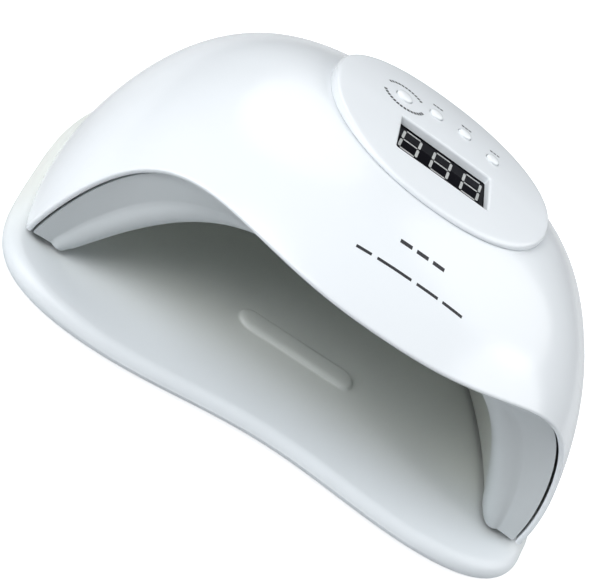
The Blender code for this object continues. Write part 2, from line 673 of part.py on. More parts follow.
NF = 28
outline = [shell_plan(radians(-12 + 204 * i / NF), WALL + 0.75) for i in range(NF + 1)]
inner = [cavity_plan(radians(176 - 172 * i / NF), LINER_T + 1.1) for i in range(NF + 1)]
outline = [p for p in outline if p[1] > -50.0]
inner = [p for p in inner if p[1] > -50.0]
bm = bmesh.new()
prism(bm, outline + inner, 13.3, 15.2)
lf = finish("lower_frame", bm, frame_white, parent=lamp_asm, smooth=False)
MAGNETS = []
for deg in (0, 40, 140, 180):
    u = radians(deg)
    p, n = dome(u, 0.0), dome_normal(u, 0.0)
    q = p - n * 13.5
    MAGNETS.append((q.x, q.y))
bm = bmesh.new()
for x, y in FRAME_BOSSES:
    lathe(bm, [(0, 10), (1.6, 10), (1.6, 20), (0, 20)], 10, (x, y, 0))
boolean(lf, bm, "frame_holes", "DIFFERENCE")
for i, (x, y) in enumerate(FRAME_BOSSES):
    bm = bmesh.new()
    screw(bm, x, y, 13.0, 1, 2.5, 1.4, 1.1, 9.3)
    finish("frame_screw_%d" % (i + 1), bm, steel, parent=lamp_asm)
for i, (x, y) in enumerate(MAGNETS):
    bm = bmesh.new()
    lathe(bm, [(0, 11.1), (4.0, 11.1), (4.0, 13.0), (0, 13.0)], 12, (x, y, 0))
    finish("lamp_magnet_%d" % (i + 1), bm, nickel, parent=lamp_asm)
    bm = bmesh.new()
    lathe(bm, [(0, 6.9), (4.0, 6.9), (4.0, 8.6), (0, 8.6)], 12, (x, y, 0))
    finish("tray_magnet_%d" % (i + 1), bm, nickel, parent=tray_asm)

# ---- base tray ------------------------------------------------------------
def smooth01(a, b, v):
    s = min(max((v - a) / (b - a), 0), 1)
    return s * s * (3 - 2 * s)


def tray_outline(a):
    c, s = cos(a), sin(a)
    if s >= 0:
        e = DOME_EXP
        return Vector((TRAY_HALF_W * sgnpow(c, 2 / e), DOME_CY + TRAY_B * sgnpow(s, 2 / e)))
    e = 4.6
    x = TRAY_HALF_W * sgnpow(c, 2 / e)
    y = -TRAY_F * abs(s) ** (2 / e)
    y += 8.3 * 2.718281828 ** (-(x / 50.0) ** 2)
    return Vector((x, DOME_CY + y))


def tray_loop(n):
    # evenly spaced points around the outline, with inward normals
    fine = [tray_outline(2 * pi * i / 1440) for i in range(1440)]
    acc = [0.0]
    for i in range(1440):
        acc.append(acc[-1] + (fine[(i + 1) % 1440] - fine[i]).length)
    pts, k = [], 0
    for j in range(n):
        d = acc[-1] * j / n
        while acc[k + 1] < d:
            k += 1
        f = (d - acc[k]) / (acc[k + 1] - acc[k])
        pts.append(fine[k].lerp(fine[(k + 1) % 1440], f))
    nor = []
    for j in range(n):
        t = (pts[(j + 1) % n] - pts[j - 1]).normalized()
        nor.append(Vector((-t.y, t.x)))
    return pts, nor


def tray_top(x, y, e):
    rim = 10.3 + 2.0 * smooth01(-64.5, -56.0, y)
    if y < -56:
        rim = min(rim, 8.9 + (rim - 8.9) * max(smooth01(55, 100, abs(x)), smooth01(-78, -62, y) * smooth01(40, 100, abs(x))))
    back = smooth01(-70.0, -58.0, y)
    w = smooth01(5.6, 10.0 + (1 - back) * 12.0, e)
    z = rim * (1 - w) + TRAY_FLOOR * w
    r = 4.6
    if e < r:
        z -= r - sqrt(r * r - (r - e) ** 2)
    return z


NB = 64
pts, nor = tray_loop(NB)
bm = bmesh.new()
rows = []
for e, z in ((3.2, TRAY_Z0), (1.0, TRAY_Z0 + 0.9)):
    rows.append([Vector((p.x + n.x * e, p.y + n.y * e, z)) for p, n in zip(pts, nor)])
for e in (0.0, 0.5, 1.6, 4.2, 5.8, 7.8, 10.0, 18.0):
    rows.append([Vector((p.x + n.x * e, p.y + n.y * e, max(tray_top(p.x + n.x * e, p.y + n.y * e, e), TRAY_Z0 + 3.0))) for p, n in zip(pts, nor)])
ring = rows[-1]
cx, cy = 0.0, DOME_CY + 10
for s in (0.5,):
    rows.append([Vector((cx + (p.x - cx) * s, cy + (p.y - cy) * s, TRAY_FLOOR)) for p in ring])
vs = grid(bm, rows, closed=True)
ct = bm.verts.new((cx, cy, TRAY_FLOOR))
for j in range(NB):
    bm.faces.new((vs[-1][j], vs[-1][(j + 1) % NB], ct))
bm.faces.new(list(reversed(vs[0])))
tray = finish("base_tray", bm, tray_white, parent=tray_asm)

BAR_X, BAR_Y, BAR_L, BAR_R, BAR_H = 1.5, -34.4, 25.4, 5.2, 1.9
bm = bmesh.new()
rings = []
for rr, z in ((BAR_R, TRAY_FLOOR - 1.5), (BAR_R, TRAY_FLOOR + 0.5), (BAR_R - 0.7, TRAY_FLOOR + 1.3), (BAR_R - 2.0, TRAY_FLOOR + BAR_H)):
    ring = []
    for sx in (1, -1):
        for i in range(9):
            a = radians(-90 + 180 * i / 8) if sx > 0 else radians(90 + 180 * i / 8)
            ring.append(Vector((BAR_X + sx * (BAR_L - BAR_R) + rr * cos(a), BAR_Y + rr * sin(a), z)))
    rings.append(ring)
vv = grid(bm, rings, closed=True)
bm.faces.new(list(reversed(vv[0])))
bm.faces.new(vv[-1])
boolean(tray, bm, "finger_rest", "UNION")
bm = bmesh.new()
for x, y in MAGNETS:
    lathe(bm, [(0, 6.6), (4.4, 6.6), (4.4, 14), (0, 14)], 12, (x, y, 0))
boolean(tray, bm, "magnet_pockets", "DIFFERENCE")

# ---- feet -----------------------------------------------------------------
FEET = [(-86, -68), (86, -68), (-72, 56), (72, 56)]
for i, (x, y) in enumerate(FEET):
    bm = bmesh.new()
    lathe(bm, [(0, 0), (6.2, 0), (6.8, 0.5), (6.8, 1.2), (6.3, TRAY_Z0 - 0.3), (0, TRAY_Z0 - 0.3)], 14, (x, y, 0))
    finish("tray_foot_%d" % (i + 1), bm, rubber, parent=tray_asm)

# ---- wiring ---------------------------------------------------------------
def tube(name, pts, r, mat):
    cu = bpy.data.curves.new(name, "CURVE")
    cu.dimensions = "3D"
    cu.bevel_depth = r * MM
    cu.bevel_resolution = 1
    cu.resolution_u = 5
    cu.use_fill_caps = True
    sp_ = cu.splines.new("BEZIER")
    sp_.bezier_points.add(len(pts) - 1)
    for bp, p in zip(sp_.bezier_points, pts):
        bp.co = Vector(p) * MM
        bp.handle_left_type = bp.handle_right_type = "AUTO"
    ob = bpy.data.objects.new(name, cu)
    bpy.context.collection.objects.link(ob)
    ob.parent = lamp_asm
    cu.materials.append(mat)
    return ob


tube("power_lead", [(0, YB - 16.0, JACK_Z), (0, YB - 19.5, JACK_Z + 6), (0, 78, 48), (0, 64, 66), (0, 38, 77.0), (0, 19.6, 77.0)], 1.3, wire_red)
tube("led_lead", [(-46.4, 1, 77.0), (-58, 1, 76.5), (-74, 1, 69), (-88, 1, 50), (-91, 1, 42)], 1.2, wire_grey)
bm = bmesh.new()
box(bm, (14.0, 9.6, Z1 + 5.3), (26.0, 10.4, BB_Z1 - 1.95))
finish("display_ribbon", bm, wire_grey, parent=lamp_asm, smooth=False)
bake()
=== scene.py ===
import bpy
import bmesh
from math import sin, cos, pi, sqrt, radians, atan2, exp
from mathutils import Vector, Matrix


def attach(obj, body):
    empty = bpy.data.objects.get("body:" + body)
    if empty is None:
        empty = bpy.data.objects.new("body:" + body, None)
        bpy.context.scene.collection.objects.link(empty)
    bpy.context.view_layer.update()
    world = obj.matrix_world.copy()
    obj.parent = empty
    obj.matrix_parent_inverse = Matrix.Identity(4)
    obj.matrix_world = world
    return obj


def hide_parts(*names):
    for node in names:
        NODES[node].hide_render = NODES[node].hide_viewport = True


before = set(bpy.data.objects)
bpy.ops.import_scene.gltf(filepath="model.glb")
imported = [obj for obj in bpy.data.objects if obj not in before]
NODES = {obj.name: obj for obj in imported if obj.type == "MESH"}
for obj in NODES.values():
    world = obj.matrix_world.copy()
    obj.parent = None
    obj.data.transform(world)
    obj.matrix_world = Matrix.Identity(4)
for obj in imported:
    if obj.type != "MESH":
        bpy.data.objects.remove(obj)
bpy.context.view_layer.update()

MM = 0.001

# ---- measures of the part, in millimetres ----------------------------------
DOME_HALF_W, DOME_CY, DOME_LEAN, DOME_Z0, DOME_H, DOME_EXP = 110.1, -21.28, 8.16, 12.85, 83.1, 2.32
SIDE_M, SIDE_K = 1.61, 3.54
FRONT_B, FRONT_M, FRONT_K = 126.6, 1.16, 2.93
BACK_B, BACK_M, BACK_K = 115.2, 2.45, 1.93
WALL = 2.2
ARCH_X, ARCH_H, ARCH_P, ARCH_Q = 105.7, 62.5, 5.5, 1.307
PANEL_CY, PANEL_RX, PANEL_RF, PANEL_RB = -1.72, 47.7, 45.3, 41.3
PANEL_EF, PANEL_EB = 2.19, 2.08
PANEL_WALL0, PANEL_WALL1 = 1.6, 4.67
PANEL_CROWN_Z = 97.9
PANEL_SKIN = 2.0
HOLE_Q = 0.86
WIN_X, WIN_Y0, WIN_Y1, WIN_DEPTH = 19.5, -27.6, -5.8, 3.3
BUTTONS = [("power_button", -20.2, 8.7, 3.2), ("timer_button_1", -6.0, 12.3, 2.7),
           ("timer_button_2", 7.2, 13.3, 2.7), ("timer_button_3", 20.4, 9.2, 2.7)]
MOUTH_X, MOUTH_H, MOUTH_P, MOUTH_Q = 90.7, 52.15, 3.93, 0.85
MOUTH_Y, MOUTH_Z = -61.97, 10.75
CAV_DEPTH, CAV_EXP = 129.8, 2.254
LINER_T, LINER_GAP = 1.0, 0.95
TRAY_HALF_W, TRAY_F, TRAY_B = 113.6, 71.0, 118.7
TRAY_Z0, TRAY_FLOOR = 2.0, 8.8
JACK_Z, JACK_X = 27.0, 0.0
BAR_X, BAR_Y, BAR_L, BAR_R, BAR_H = 1.5, -34.4, 25.4, 5.2, 1.9


def sgnpow(v, e):
    return (1 if v >= 0 else -1) * abs(v) ** e


def dome(u, t):
    fx = max(1 - t ** SIDE_M, 1e-9) ** (1 / SIDE_K)
    c, s = cos(u), sin(u)
    if s < 0:
        b = FRONT_B * max(1 - t ** FRONT_M, 1e-9) ** (1 / FRONT_K)
    else:
        b = BACK_B * max(1 - t ** BACK_M, 1e-9) ** (1 / BACK_K)
    return Vector((DOME_HALF_W * fx * sgnpow(c, 2 / DOME_EXP),
                   DOME_CY + DOME_LEAN * t + b * sgnpow(s, 2 / DOME_EXP),
                   DOME_Z0 + DOME_H * t))


def dome_normal(u, t):
    du, dt = 1e-4, 1e-4
    a = dome(u + du, t) - dome(u - du, t)
    t1, t0 = min(t + dt, 0.9999), max(t - dt, 0.0)
    b = dome(u, t1) - dome(u, t0)
    return a.cross(b).normalized()


def dome_z(x, y):
    a, b = 0.0, 1.0
    for _ in range(30):
        t = (a + b) / 2
        fx = max(1 - t ** SIDE_M, 1e-9) ** (1 / SIDE_K)
        yc = DOME_CY + DOME_LEAN * t
        if y < yc:
            by = FRONT_B * max(1 - t ** FRONT_M, 1e-9) ** (1 / FRONT_K)
        else:
            by = BACK_B * max(1 - t ** BACK_M, 1e-9) ** (1 / BACK_K)
        g = abs(x / (DOME_HALF_W * fx)) ** DOME_EXP + abs((y - yc) / by) ** DOME_EXP
        if g < 1:
            a = t
        else:
            b = t
    return DOME_Z0 + DOME_H * (a + b) / 2


def arch_column(x):
    z = ARCH_H * max(1 - abs(x / ARCH_X) ** ARCH_P, 0) ** (1 / ARCH_Q)
    t = z / DOME_H
    fx = (1 - t ** SIDE_M) ** (1 / SIDE_K)
    c = (abs(x) / (DOME_HALF_W * fx)) ** (DOME_EXP / 2)
    return atan2(-sqrt(max(1 - c * c, 0)), c if x >= 0 else -c), t


def panel_g(x, y, q):
    ry, e = (PANEL_RF, PANEL_EF) if y < PANEL_CY else (PANEL_RB, PANEL_EB)
    return abs(x / (PANEL_RX * q)) ** e + abs((y - PANEL_CY) / (ry * q)) ** e


def hole_t(u, q):
    a, b = 0.5, 1.0
    for _ in range(30):
        t = (a + b) / 2
        p = dome(u, t)
        if panel_g(p.x, p.y, q) > 1:
            a = t
        else:
            b = t
    return (a + b) / 2


def panel_edge(a, q):
    c, s = cos(a), sin(a)
    e, ry = (PANEL_EF, PANEL_RF) if s < 0 else (PANEL_EB, PANEL_RB)
    return (PANEL_RX * q * sgnpow(c, 2 / e), PANEL_CY + ry * q * sgnpow(s, 2 / e))


def panel_wall(y):
    return PANEL_WALL0 + PANEL_WALL1 * max((y - PANEL_CY + PANEL_RF) / 80, 0)


def panel_edge_z(a):
    x, y = panel_edge(a, 1.0)
    return dome_z(x, y) + panel_wall(y)


def panel_top_xy(x, y):
    ry = PANEL_RF if y < PANEL_CY else PANEL_RB
    a = atan2((y - PANEL_CY) / ry, x / PANEL_RX)
    q = sqrt((x / PANEL_RX) ** 2 + ((y - PANEL_CY) / ry) ** 2)
    return panel_edge_z(a) * q * q + PANEL_CROWN_Z * (1 - q * q)


def mouth_pt(th):
    x = MOUTH_X * cos(th)
    z = MOUTH_Z + MOUTH_H * max(1 - abs(cos(th)) ** MOUTH_P, 0) ** (1 / MOUTH_Q)
    return Vector((x, MOUTH_Y, z))


def chamber(th, ph):
    m = mouth_pt(th)
    cx = max(cos(ph), 0) ** (2 / CAV_EXP)
    cz = max(cos(ph), 0) ** 0.4
    cy = max(sin(ph), 0) ** (2 / CAV_EXP)
    return Vector((m.x * cx, MOUTH_Y + CAV_DEPTH * cy, MOUTH_Z + (m.z - MOUTH_Z) * cz))


def chamber_normal(th, ph):
    d = 1e-3
    a = chamber(th + d, ph) - chamber(th - d, ph)
    b = chamber(th, ph + d) - chamber(th, ph - d)
    n = a.cross(b).normalized()
    if n.dot(Vector((0, 10, 25)) - chamber(th, ph)) < 0:
        n = -n
    return n


def flange_edge(th):
    u, t = arch_column(ARCH_X * cos(th))
    tt = t + 1.2 / DOME_H * (1 if t > 0.02 else 0)
    p = dome(u, tt) - dome_normal(u, max(tt, 1e-3)) * (WALL + LINER_GAP)
    p.z = max(p.z, MOUTH_Z + 0.55)
    return p


def smooth01(a, b, v):
    s = min(max((v - a) / (b - a), 0), 1)
    return s * s * (3 - 2 * s)


def tray_outline(a):
    c, s = cos(a), sin(a)
    if s >= 0:
        e = DOME_EXP
        return Vector((TRAY_HALF_W * sgnpow(c, 2 / e), DOME_CY + TRAY_B * sgnpow(s, 2 / e)))
    e = 4.6
    x = TRAY_HALF_W * sgnpow(c, 2 / e)
    y = -TRAY_F * abs(s) ** (2 / e)
    y += 8.3 * 2.718281828 ** (-(x / 50.0) ** 2)
    return Vector((x, DOME_CY + y))


def tray_loop(n):
    fine = [tray_outline(2 * pi * i / 4320) for i in range(4320)]
    acc = [0.0]
    for i in range(4320):
        acc.append(acc[-1] + (fine[(i + 1) % 4320] - fine[i]).length)
    pts, k = [], 0
    for j in range(n):
        d = acc[-1] * j / n
        while acc[k + 1] < d:
            k += 1
        f = (d - acc[k]) / (acc[k + 1] - acc[k])
        pts.append(fine[k].lerp(fine[(k + 1) % 4320], f))
    nor = []
    for j in range(n):
        t = (pts[(j + 1) % n] - pts[j - 1]).normalized()
        nor.append(Vector((-t.y, t.x)))
    return pts, nor


def tray_top(x, y, e):
    rim = 10.3 + 2.0 * smooth01(-64.5, -56.0, y)
    if y < -56:
        rim = min(rim, 8.9 + (rim - 8.9) * max(smooth01(55, 100, abs(x)), smooth01(-78, -62, y) * smooth01(40, 100, abs(x))))
    back = smooth01(-70.0, -58.0, y)
    w = smooth01(5.6, 10.0 + (1 - back) * 12.0, e)
    z = rim * (1 - w) + TRAY_FLOOR * w
    r = 4.6
    if e < r:
        z -= r - sqrt(r * r - (r - e) ** 2)
    return z


# ---- procedural materials ---------------------------------------------------
class Mat:
    """A small builder for one node material."""

    def __init__(self, name):
        self.m = bpy.data.materials.new(name)
        self.m.use_nodes = True
        self.nt = self.m.node_tree
        self.nt.nodes.clear()
        self.out = self.nt.nodes.new("ShaderNodeOutputMaterial")
        self.b = self.nt.nodes.new("ShaderNodeBsdfPrincipled")
        self.nt.links.new(self.b.outputs[0], self.out.inputs[0])
        tc = self.nt.nodes.new("ShaderNodeTexCoord")
        self.obj = tc.outputs["Object"]

    def link(self, a, b):
        self.nt.links.new(a, b)

    def set(self, **kw):
        for k, v in kw.items():
            s = self.b.inputs[k.replace("_", " ")]
            s.default_value = v

    def noise(self, scale, detail=3.0, rough=0.5, distortion=0.0, vec=None):
        n = self.nt.nodes.new("ShaderNodeTexNoise")
        n.inputs["Scale"].default_value = scale
        n.inputs["Detail"].default_value = detail
        n.inputs["Roughness"].default_value = rough
        n.inputs["Distortion"].default_value = distortion
        self.link(vec if vec is not None else self.obj, n.inputs["Vector"])
        return n.outputs["Fac"]

    def voronoi(self, scale, feature="F1", out="Distance", vec=None):
        n = self.nt.nodes.new("ShaderNodeTexVoronoi")
        n.feature = feature
        n.inputs["Scale"].default_value = scale
        self.link(vec if vec is not None else self.obj, n.inputs["Vector"])
        return n.outputs[out]

    def wave(self, scale, direction="X", distortion=0.0, vec=None):
        n = self.nt.nodes.new("ShaderNodeTexWave")
        n.bands_direction = direction
        n.inputs["Scale"].default_value = scale
        n.inputs["Distortion"].default_value = distortion
        self.link(vec if vec is not None else self.obj, n.inputs["Vector"])
        return n.outputs["Fac"]

    def math(self, op, a, b=None, c=None, clamp=False):
        n = self.nt.nodes.new("ShaderNodeMath")
        n.operation = op
        n.use_clamp = clamp
        for i, v in enumerate((a, b, c)):
            if v is None:
                continue
            if isinstance(v, (int, float)):
                n.inputs[i].default_value = v
            else:
                self.link(v, n.inputs[i])
        return n.outputs[0]

    def remap(self, v, a, b, c, d, kind="LINEAR"):
        n = self.nt.nodes.new("ShaderNodeMapRange")
        n.interpolation_type = kind
        n.inputs["From Min"].default_value = a
        n.inputs["From Max"].default_value = b
        n.inputs["To Min"].default_value = c
        n.inputs["To Max"].default_value = d
        self.link(v, n.inputs["Value"])
        return n.outputs["Result"]

    def mix(self, f, a, b):
        n = self.nt.nodes.new("ShaderNodeMix")
        n.data_type = "RGBA"
        for s, v in ((n.inputs["Factor"], f), (n.inputs["A"], a), (n.inputs["B"], b)):
            pass
        ins = {s.identifier: s for s in n.inputs}
        for key, v in (("Factor_Float", f), ("A_Color", a), ("B_Color", b)):
            s = ins[key]
            if isinstance(v, (int, float)):
                s.default_value = v
            elif isinstance(v, tuple):
                s.default_value = (v[0], v[1], v[2], 1.0)
            else:
                self.link(v, s)
        return [o for o in n.outputs if o.identifier == "Result_Color"][0]

    def xyz(self):
        n = self.nt.nodes.new("ShaderNodeSeparateXYZ")
        self.link(self.obj, n.inputs[0])
        return n.outputs[0], n.outputs[1], n.outputs[2]

    def color(self, v):
        if isinstance(v, tuple):
            self.b.inputs["Base Color"].default_value = (v[0], v[1], v[2], 1.0)
        else:
            self.link(v, self.b.inputs["Base Color"])

    def rough(self, v):
        if isinstance(v, (int, float)):
            self.b.inputs["Roughness"].default_value = v
        else:
            self.link(v, self.b.inputs["Roughness"])

    def bump(self, height, strength, distance=0.0002):
        n = self.nt.nodes.new("ShaderNodeBump")
        n.inputs["Strength"].default_value = strength
        n.inputs["Distance"].default_value = distance
        self.link(height, n.inputs["Height"])
        if self.b.inputs["Normal"].is_linked:
            self.link(self.b.inputs["Normal"].links[0].from_socket, n.inputs["Normal"])
        self.link(n.outputs["Normal"], self.b.inputs["Normal"])


def tint(c, f):
    return tuple(min(v * f, 1.0) for v in c)


def gloss_plastic(name, col, rough=0.16, peel=0.02, dark=0.985, coat=0.0, grain=900, inner=None):
    """Injection-moulded plastic: faint flow tone, uneven gloss and fine peel. inner is a painted shade tint: a
    second, greenish tone deeper in the part that stands in for the colour of shaded bounce light in the cavity,
    with the two depths in millimetres between which it comes in."""
    m = Mat(name)
    flow = m.noise(9.0, 3.0, 0.55, 0.4)
    base = col
    low = tint(col, dark)
    if inner:
        x, y, z = m.xyz()
        # painted shade tint: the colour turns from the bluish front tone to the greenish inner tone along y,
        # deeper in the cavity
        f = m.remap(y, inner[1] * MM, inner[2] * MM, 0.0, 1.0, "SMOOTHSTEP")
        base = m.mix(f, col, inner[0])
        low = m.mix(f, tint(col, dark), tint(inner[0], dark))
    c = m.mix(m.remap(flow, 0.3, 0.7, 0.0, 1.0, "SMOOTHSTEP"), low, base)
    m.color(c)
    r1 = m.noise(26.0, 4.0, 0.6)
    m.rough(m.remap(r1, 0.25, 0.75, rough * 0.88, rough * 1.15))
    m.bump(m.noise(grain, 2.0, 0.5), peel, 0.00006)
    m.bump(m.noise(38.0, 2.0, 0.5), peel * 0.8, 0.0006)
    m.set(IOR=1.49)
    if coat:
        m.set(Coat_Weight=coat, Coat_Roughness=0.12)
    return m


def matte_plastic(name, col, rough=0.5, grain=1400, bump=0.25, dark=0.9):
    m = Mat(name)
    c = m.mix(m.remap(m.noise(60.0, 4.0), 0.3, 0.7, 0.0, 1.0), tint(col, dark), col)
    m.color(c)
    m.rough(m.remap(m.noise(180.0, 3.0), 0.3, 0.7, rough * 0.85, min(rough * 1.15, 1.0)))
    m.bump(m.noise(grain, 3.0, 0.6), bump, 0.00012)
    m.set(IOR=1.47)
    return m


def metal(name, col, rough, brushed=0.0, plated=0.0):
    m = Mat(name)
    n = m.noise(420.0, 4.0, 0.6)
    m.color(m.mix(m.remap(n, 0.3, 0.7, 0.0, 1.0), tint(col, 0.82), col))
    m.set(Metallic=1.0)
    m.rough(m.remap(m.noise(900.0, 3.0), 0.3, 0.7, rough * 0.75, min(rough * 1.3, 1.0)))
    if brushed:
        m.bump(m.wave(700.0, "Z", 2.5), brushed, 0.00004)
    m.bump(m.noise(2200.0, 2.0), 0.12, 0.00003)
    return m


def circuit_board(name, col, track):
    """Solder mask over copper tracks, with tinned pads."""
    m = Mat(name)
    x, y, z = m.xyz()
    tr = m.voronoi(240.0, "DISTANCE_TO_EDGE")
    trk = m.remap(tr, 0.05, 0.09, 1.0, 0.0)
    c = m.mix(trk, col, track)
    pads = m.remap(m.voronoi(330.0), 0.16, 0.2, 1.0, 0.0)
    c = m.mix(pads, c, (0.72, 0.70, 0.62))
    c = m.mix(m.remap(m.noise(40.0, 3.0), 0.35, 0.65, 0.0, 0.35), c, tint(col, 0.75))
    m.color(c)
    m.rough(m.remap(m.noise(120.0), 0.3, 0.7, 0.32, 0.5))
    m.bump(trk, 0.25, 0.00005)
    m.set(IOR=1.5)
    return m


def rubber(name, col):
    m = Mat(name)
    c = m.mix(m.remap(m.noise(300.0, 4.0), 0.3, 0.7, 0.0, 1.0), tint(col, 0.7), col)
    dust = m.remap(m.noise(90.0, 5.0, 0.7), 0.55, 0.75, 0.0, 0.35)
    m.color(m.mix(dust, c, (0.16, 0.155, 0.15)))
    m.rough(m.remap(m.noise(240.0), 0.3, 0.7, 0.72, 0.92))
    m.bump(m.noise(1500.0, 3.0, 0.6), 0.4, 0.00015)
    m.set(IOR=1.52)
    return m


# ---- finishes ------------------------------------------------------------------
M_SHELL = gloss_plastic("shell_gloss_white", (0.86, 0.895, 0.925), 0.20, 0.02, 0.99, coat=0.2)
M_PANEL = gloss_plastic("panel_gloss_white", (0.86, 0.895, 0.925), 0.20, 0.02, 0.99, coat=0.2)
M_BUTTON = gloss_plastic("button_gloss_white", (0.90, 0.93, 0.95), 0.18, 0.02, 0.99, coat=0.25)
# liner and tray: painted shade tint, bluish at the front and turning greenish grey deeper in the chamber where the
# light is shaded
M_LINER = gloss_plastic("liner_satin_white", (0.60, 0.635, 0.65), 0.37, 0.05, 0.97, inner=((0.64, 0.66, 0.62), -64.0, -30.0))
M_TRAY = gloss_plastic("tray_satin_white", (0.80, 0.84, 0.87), 0.35, 0.04, 0.98, inner=((0.82, 0.845, 0.81), -80.0, -35.0))
M_FRAME = matte_plastic("frame_white", (0.66, 0.68, 0.69), 0.55)
M_MODULE = matte_plastic("module_grey", (0.22, 0.23, 0.24), 0.5)
M_SWITCH = matte_plastic("switch_black", (0.035, 0.035, 0.04), 0.45)
M_CONN = matte_plastic("connector_cream", (0.78, 0.77, 0.70), 0.45)
M_CHIP = matte_plastic("chip_black", (0.02, 0.02, 0.022), 0.55, 2600, 0.4)
M_WIRE_R = matte_plastic("wire_red", (0.45, 0.02, 0.02), 0.42, 2000, 0.1)
M_WIRE_G = matte_plastic("wire_grey", (0.36, 0.37, 0.39), 0.42, 2000, 0.1)
M_CAN = metal("capacitor_can", (0.70, 0.71, 0.73), 0.28, 0.2)
M_STEEL = metal("screw_zinc", (0.58, 0.59, 0.61), 0.3, 0.15)
M_NICKEL = metal("magnet_nickel", (0.66, 0.65, 0.62), 0.16)
M_PCB = circuit_board("board_green", (0.012, 0.12, 0.05), (0.03, 0.21, 0.09))
M_STRIP = circuit_board("strip_white", (0.74, 0.74, 0.71), (0.80, 0.79, 0.74))
M_RUBBER = rubber("foot_rubber", (0.035, 0.035, 0.037))
M_JACK = matte_plastic("inlet_black", (0.02, 0.02, 0.022), 0.35, 1800, 0.2)


def gloss_black():
    m = Mat("display_filter_black")
    n = m.noise(30.0, 3.0)
    m.color(m.mix(m.remap(n, 0.3, 0.7, 0.0, 1.0), (0.004, 0.004, 0.006), (0.010, 0.010, 0.013)))
    m.rough(m.remap(m.noise(160.0, 3.0), 0.3, 0.7, 0.05, 0.11))
    m.bump(m.noise(900.0), 0.01, 0.00003)
    m.set(IOR=1.10)
    return m


def digit_grey():
    # unlit seven-segment bars: milky diffuser with a fine dot screen
    m = Mat("digit_segment_grey")
    d = m.voronoi(2600.0)
    c = m.mix(m.remap(d, 0.15, 0.45, 0.0, 1.0), (0.70, 0.71, 0.70), (0.50, 0.51, 0.50))
    c = m.mix(m.remap(m.noise(700.0, 4.0), 0.4, 0.62, 0.0, 0.5), c, (0.30, 0.31, 0.31))
    m.color(c)
    m.rough(m.remap(m.noise(400.0), 0.3, 0.7, 0.3, 0.5))
    m.bump(d, 0.15, 0.00004)
    m.set(IOR=1.5)
    return m


def print_ink():
    m = Mat("pad_print_ink")
    n = m.noise(1600.0, 4.0, 0.6)
    m.color(m.mix(m.remap(n, 0.35, 0.65, 0.0, 1.0), (0.012, 0.012, 0.016), (0.035, 0.036, 0.042)))
    m.rough(m.remap(n, 0.3, 0.7, 0.35, 0.55))
    m.bump(n, 0.1, 0.00003)
    m.set(IOR=1.5)
    return m


def sensor_window():
    m = Mat("sensor_infrared_window")
    n = m.noise(300.0, 3.0)
    m.color(m.mix(m.remap(n, 0.3, 0.7, 0.0, 1.0), (0.02, 0.004, 0.014), (0.04, 0.010, 0.028)))
    m.rough(m.remap(n, 0.3, 0.7, 0.06, 0.14))
    m.bump(n, 0.02, 0.00003)
    m.set(IOR=1.5)
    return m


def lens_clear():
    m = Mat("led_lens_clear")
    n = m.noise(500.0, 2.0)
    m.color(m.mix(m.remap(n, 0.3, 0.7, 0.0, 1.0), (0.93, 0.93, 0.97), (0.86, 0.85, 0.95)))
    m.rough(m.remap(n, 0.3, 0.7, 0.02, 0.06))
    m.bump(n, 0.02, 0.00003)
    m.set(IOR=1.5, Transmission_Weight=0.9)
    return m


def die_amber():
    m = Mat("led_die_amber")
    n = m.voronoi(2200.0)
    m.color(m.mix(m.remap(n, 0.1, 0.6, 0.0, 1.0), (0.80, 0.62, 0.20), (0.42, 0.30, 0.52)))
    m.rough(m.remap(n, 0.0, 0.6, 0.3, 0.5))
    m.bump(n, 0.2, 0.00005)
    return m


M_BLACK, M_DIGIT, M_INK = gloss_black(), digit_grey(), print_ink()
M_SENSOR, M_LENS, M_DIE = sensor_window(), lens_clear(), die_amber()


# ---- mesh helpers -----------------------------------------------------------
def mesh_from(bm, name, mat, sharp=35.0):
    bmesh.ops.recalc_face_normals(bm, faces=bm.faces)
    me = bpy.data.meshes.new(name)
    for v in bm.verts:
        v.co = v.co * MM
    for f in bm.faces:
        f.smooth = True
    bm.to_mesh(me)
    bm.free()
    if mat is not None:
        me.materials.append(mat.m)
    if sharp:
        me.set_sharp_from_angle(angle=radians(sharp))
    ob = bpy.data.objects.new(name, me)
    bpy.context.scene.collection.objects.link(ob)
    return ob


def boolean(ob, cutters, op="DIFFERENCE", sharp=35.0):
    """Applies exact Booleans at once and drops the cutters."""
    for c in cutters:
        m = ob.modifiers.new("cut", "BOOLEAN")
        m.operation = op
        m.solver = "EXACT"
        m.object = c
    bake(ob, sharp)
    for c in cutters:
        bpy.data.objects.remove(c, do_unlink=True)


def bake(ob, sharp=35.0):
    bpy.context.view_layer.update()
    dg = bpy.context.evaluated_depsgraph_get()
    me = bpy.data.meshes.new_from_object(ob.evaluated_get(dg))
    mats = [m for m in ob.data.materials]
    ob.modifiers.clear()
    ob.data = me
    me.materials.clear()
    for m in mats:
        me.materials.append(m)
    for p in me.polygons:
        p.use_smooth = True
    if sharp:
        me.set_sharp_from_angle(angle=radians(sharp))


def piece(ob, body, slot, *replaced):
    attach(ob, body)
    if replaced:
        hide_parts(*replaced)
    return ob


def grid(bm, rows, closed=False, wrap=False):
    vs = [[bm.verts.new(p) for p in r] for r in rows]
    n = len(rows[0])
    last = len(rows) if wrap else len(rows) - 1
    for i in range(last):
        a, b = vs[i], vs[(i + 1) % len(rows)]
        for j in range(n if closed else n - 1):
            k = (j + 1) % n
            bm.faces.new((a[j], a[k], b[k], b[j]))
    return vs


def fan(bm, ring, centre, flip=False):
    c = bm.verts.new(centre)
    n = len(ring)
    for j in range(n):
        k = (j + 1) % n
        bm.faces.new((c, ring[k], ring[j]) if flip else (c, ring[j], ring[k]))


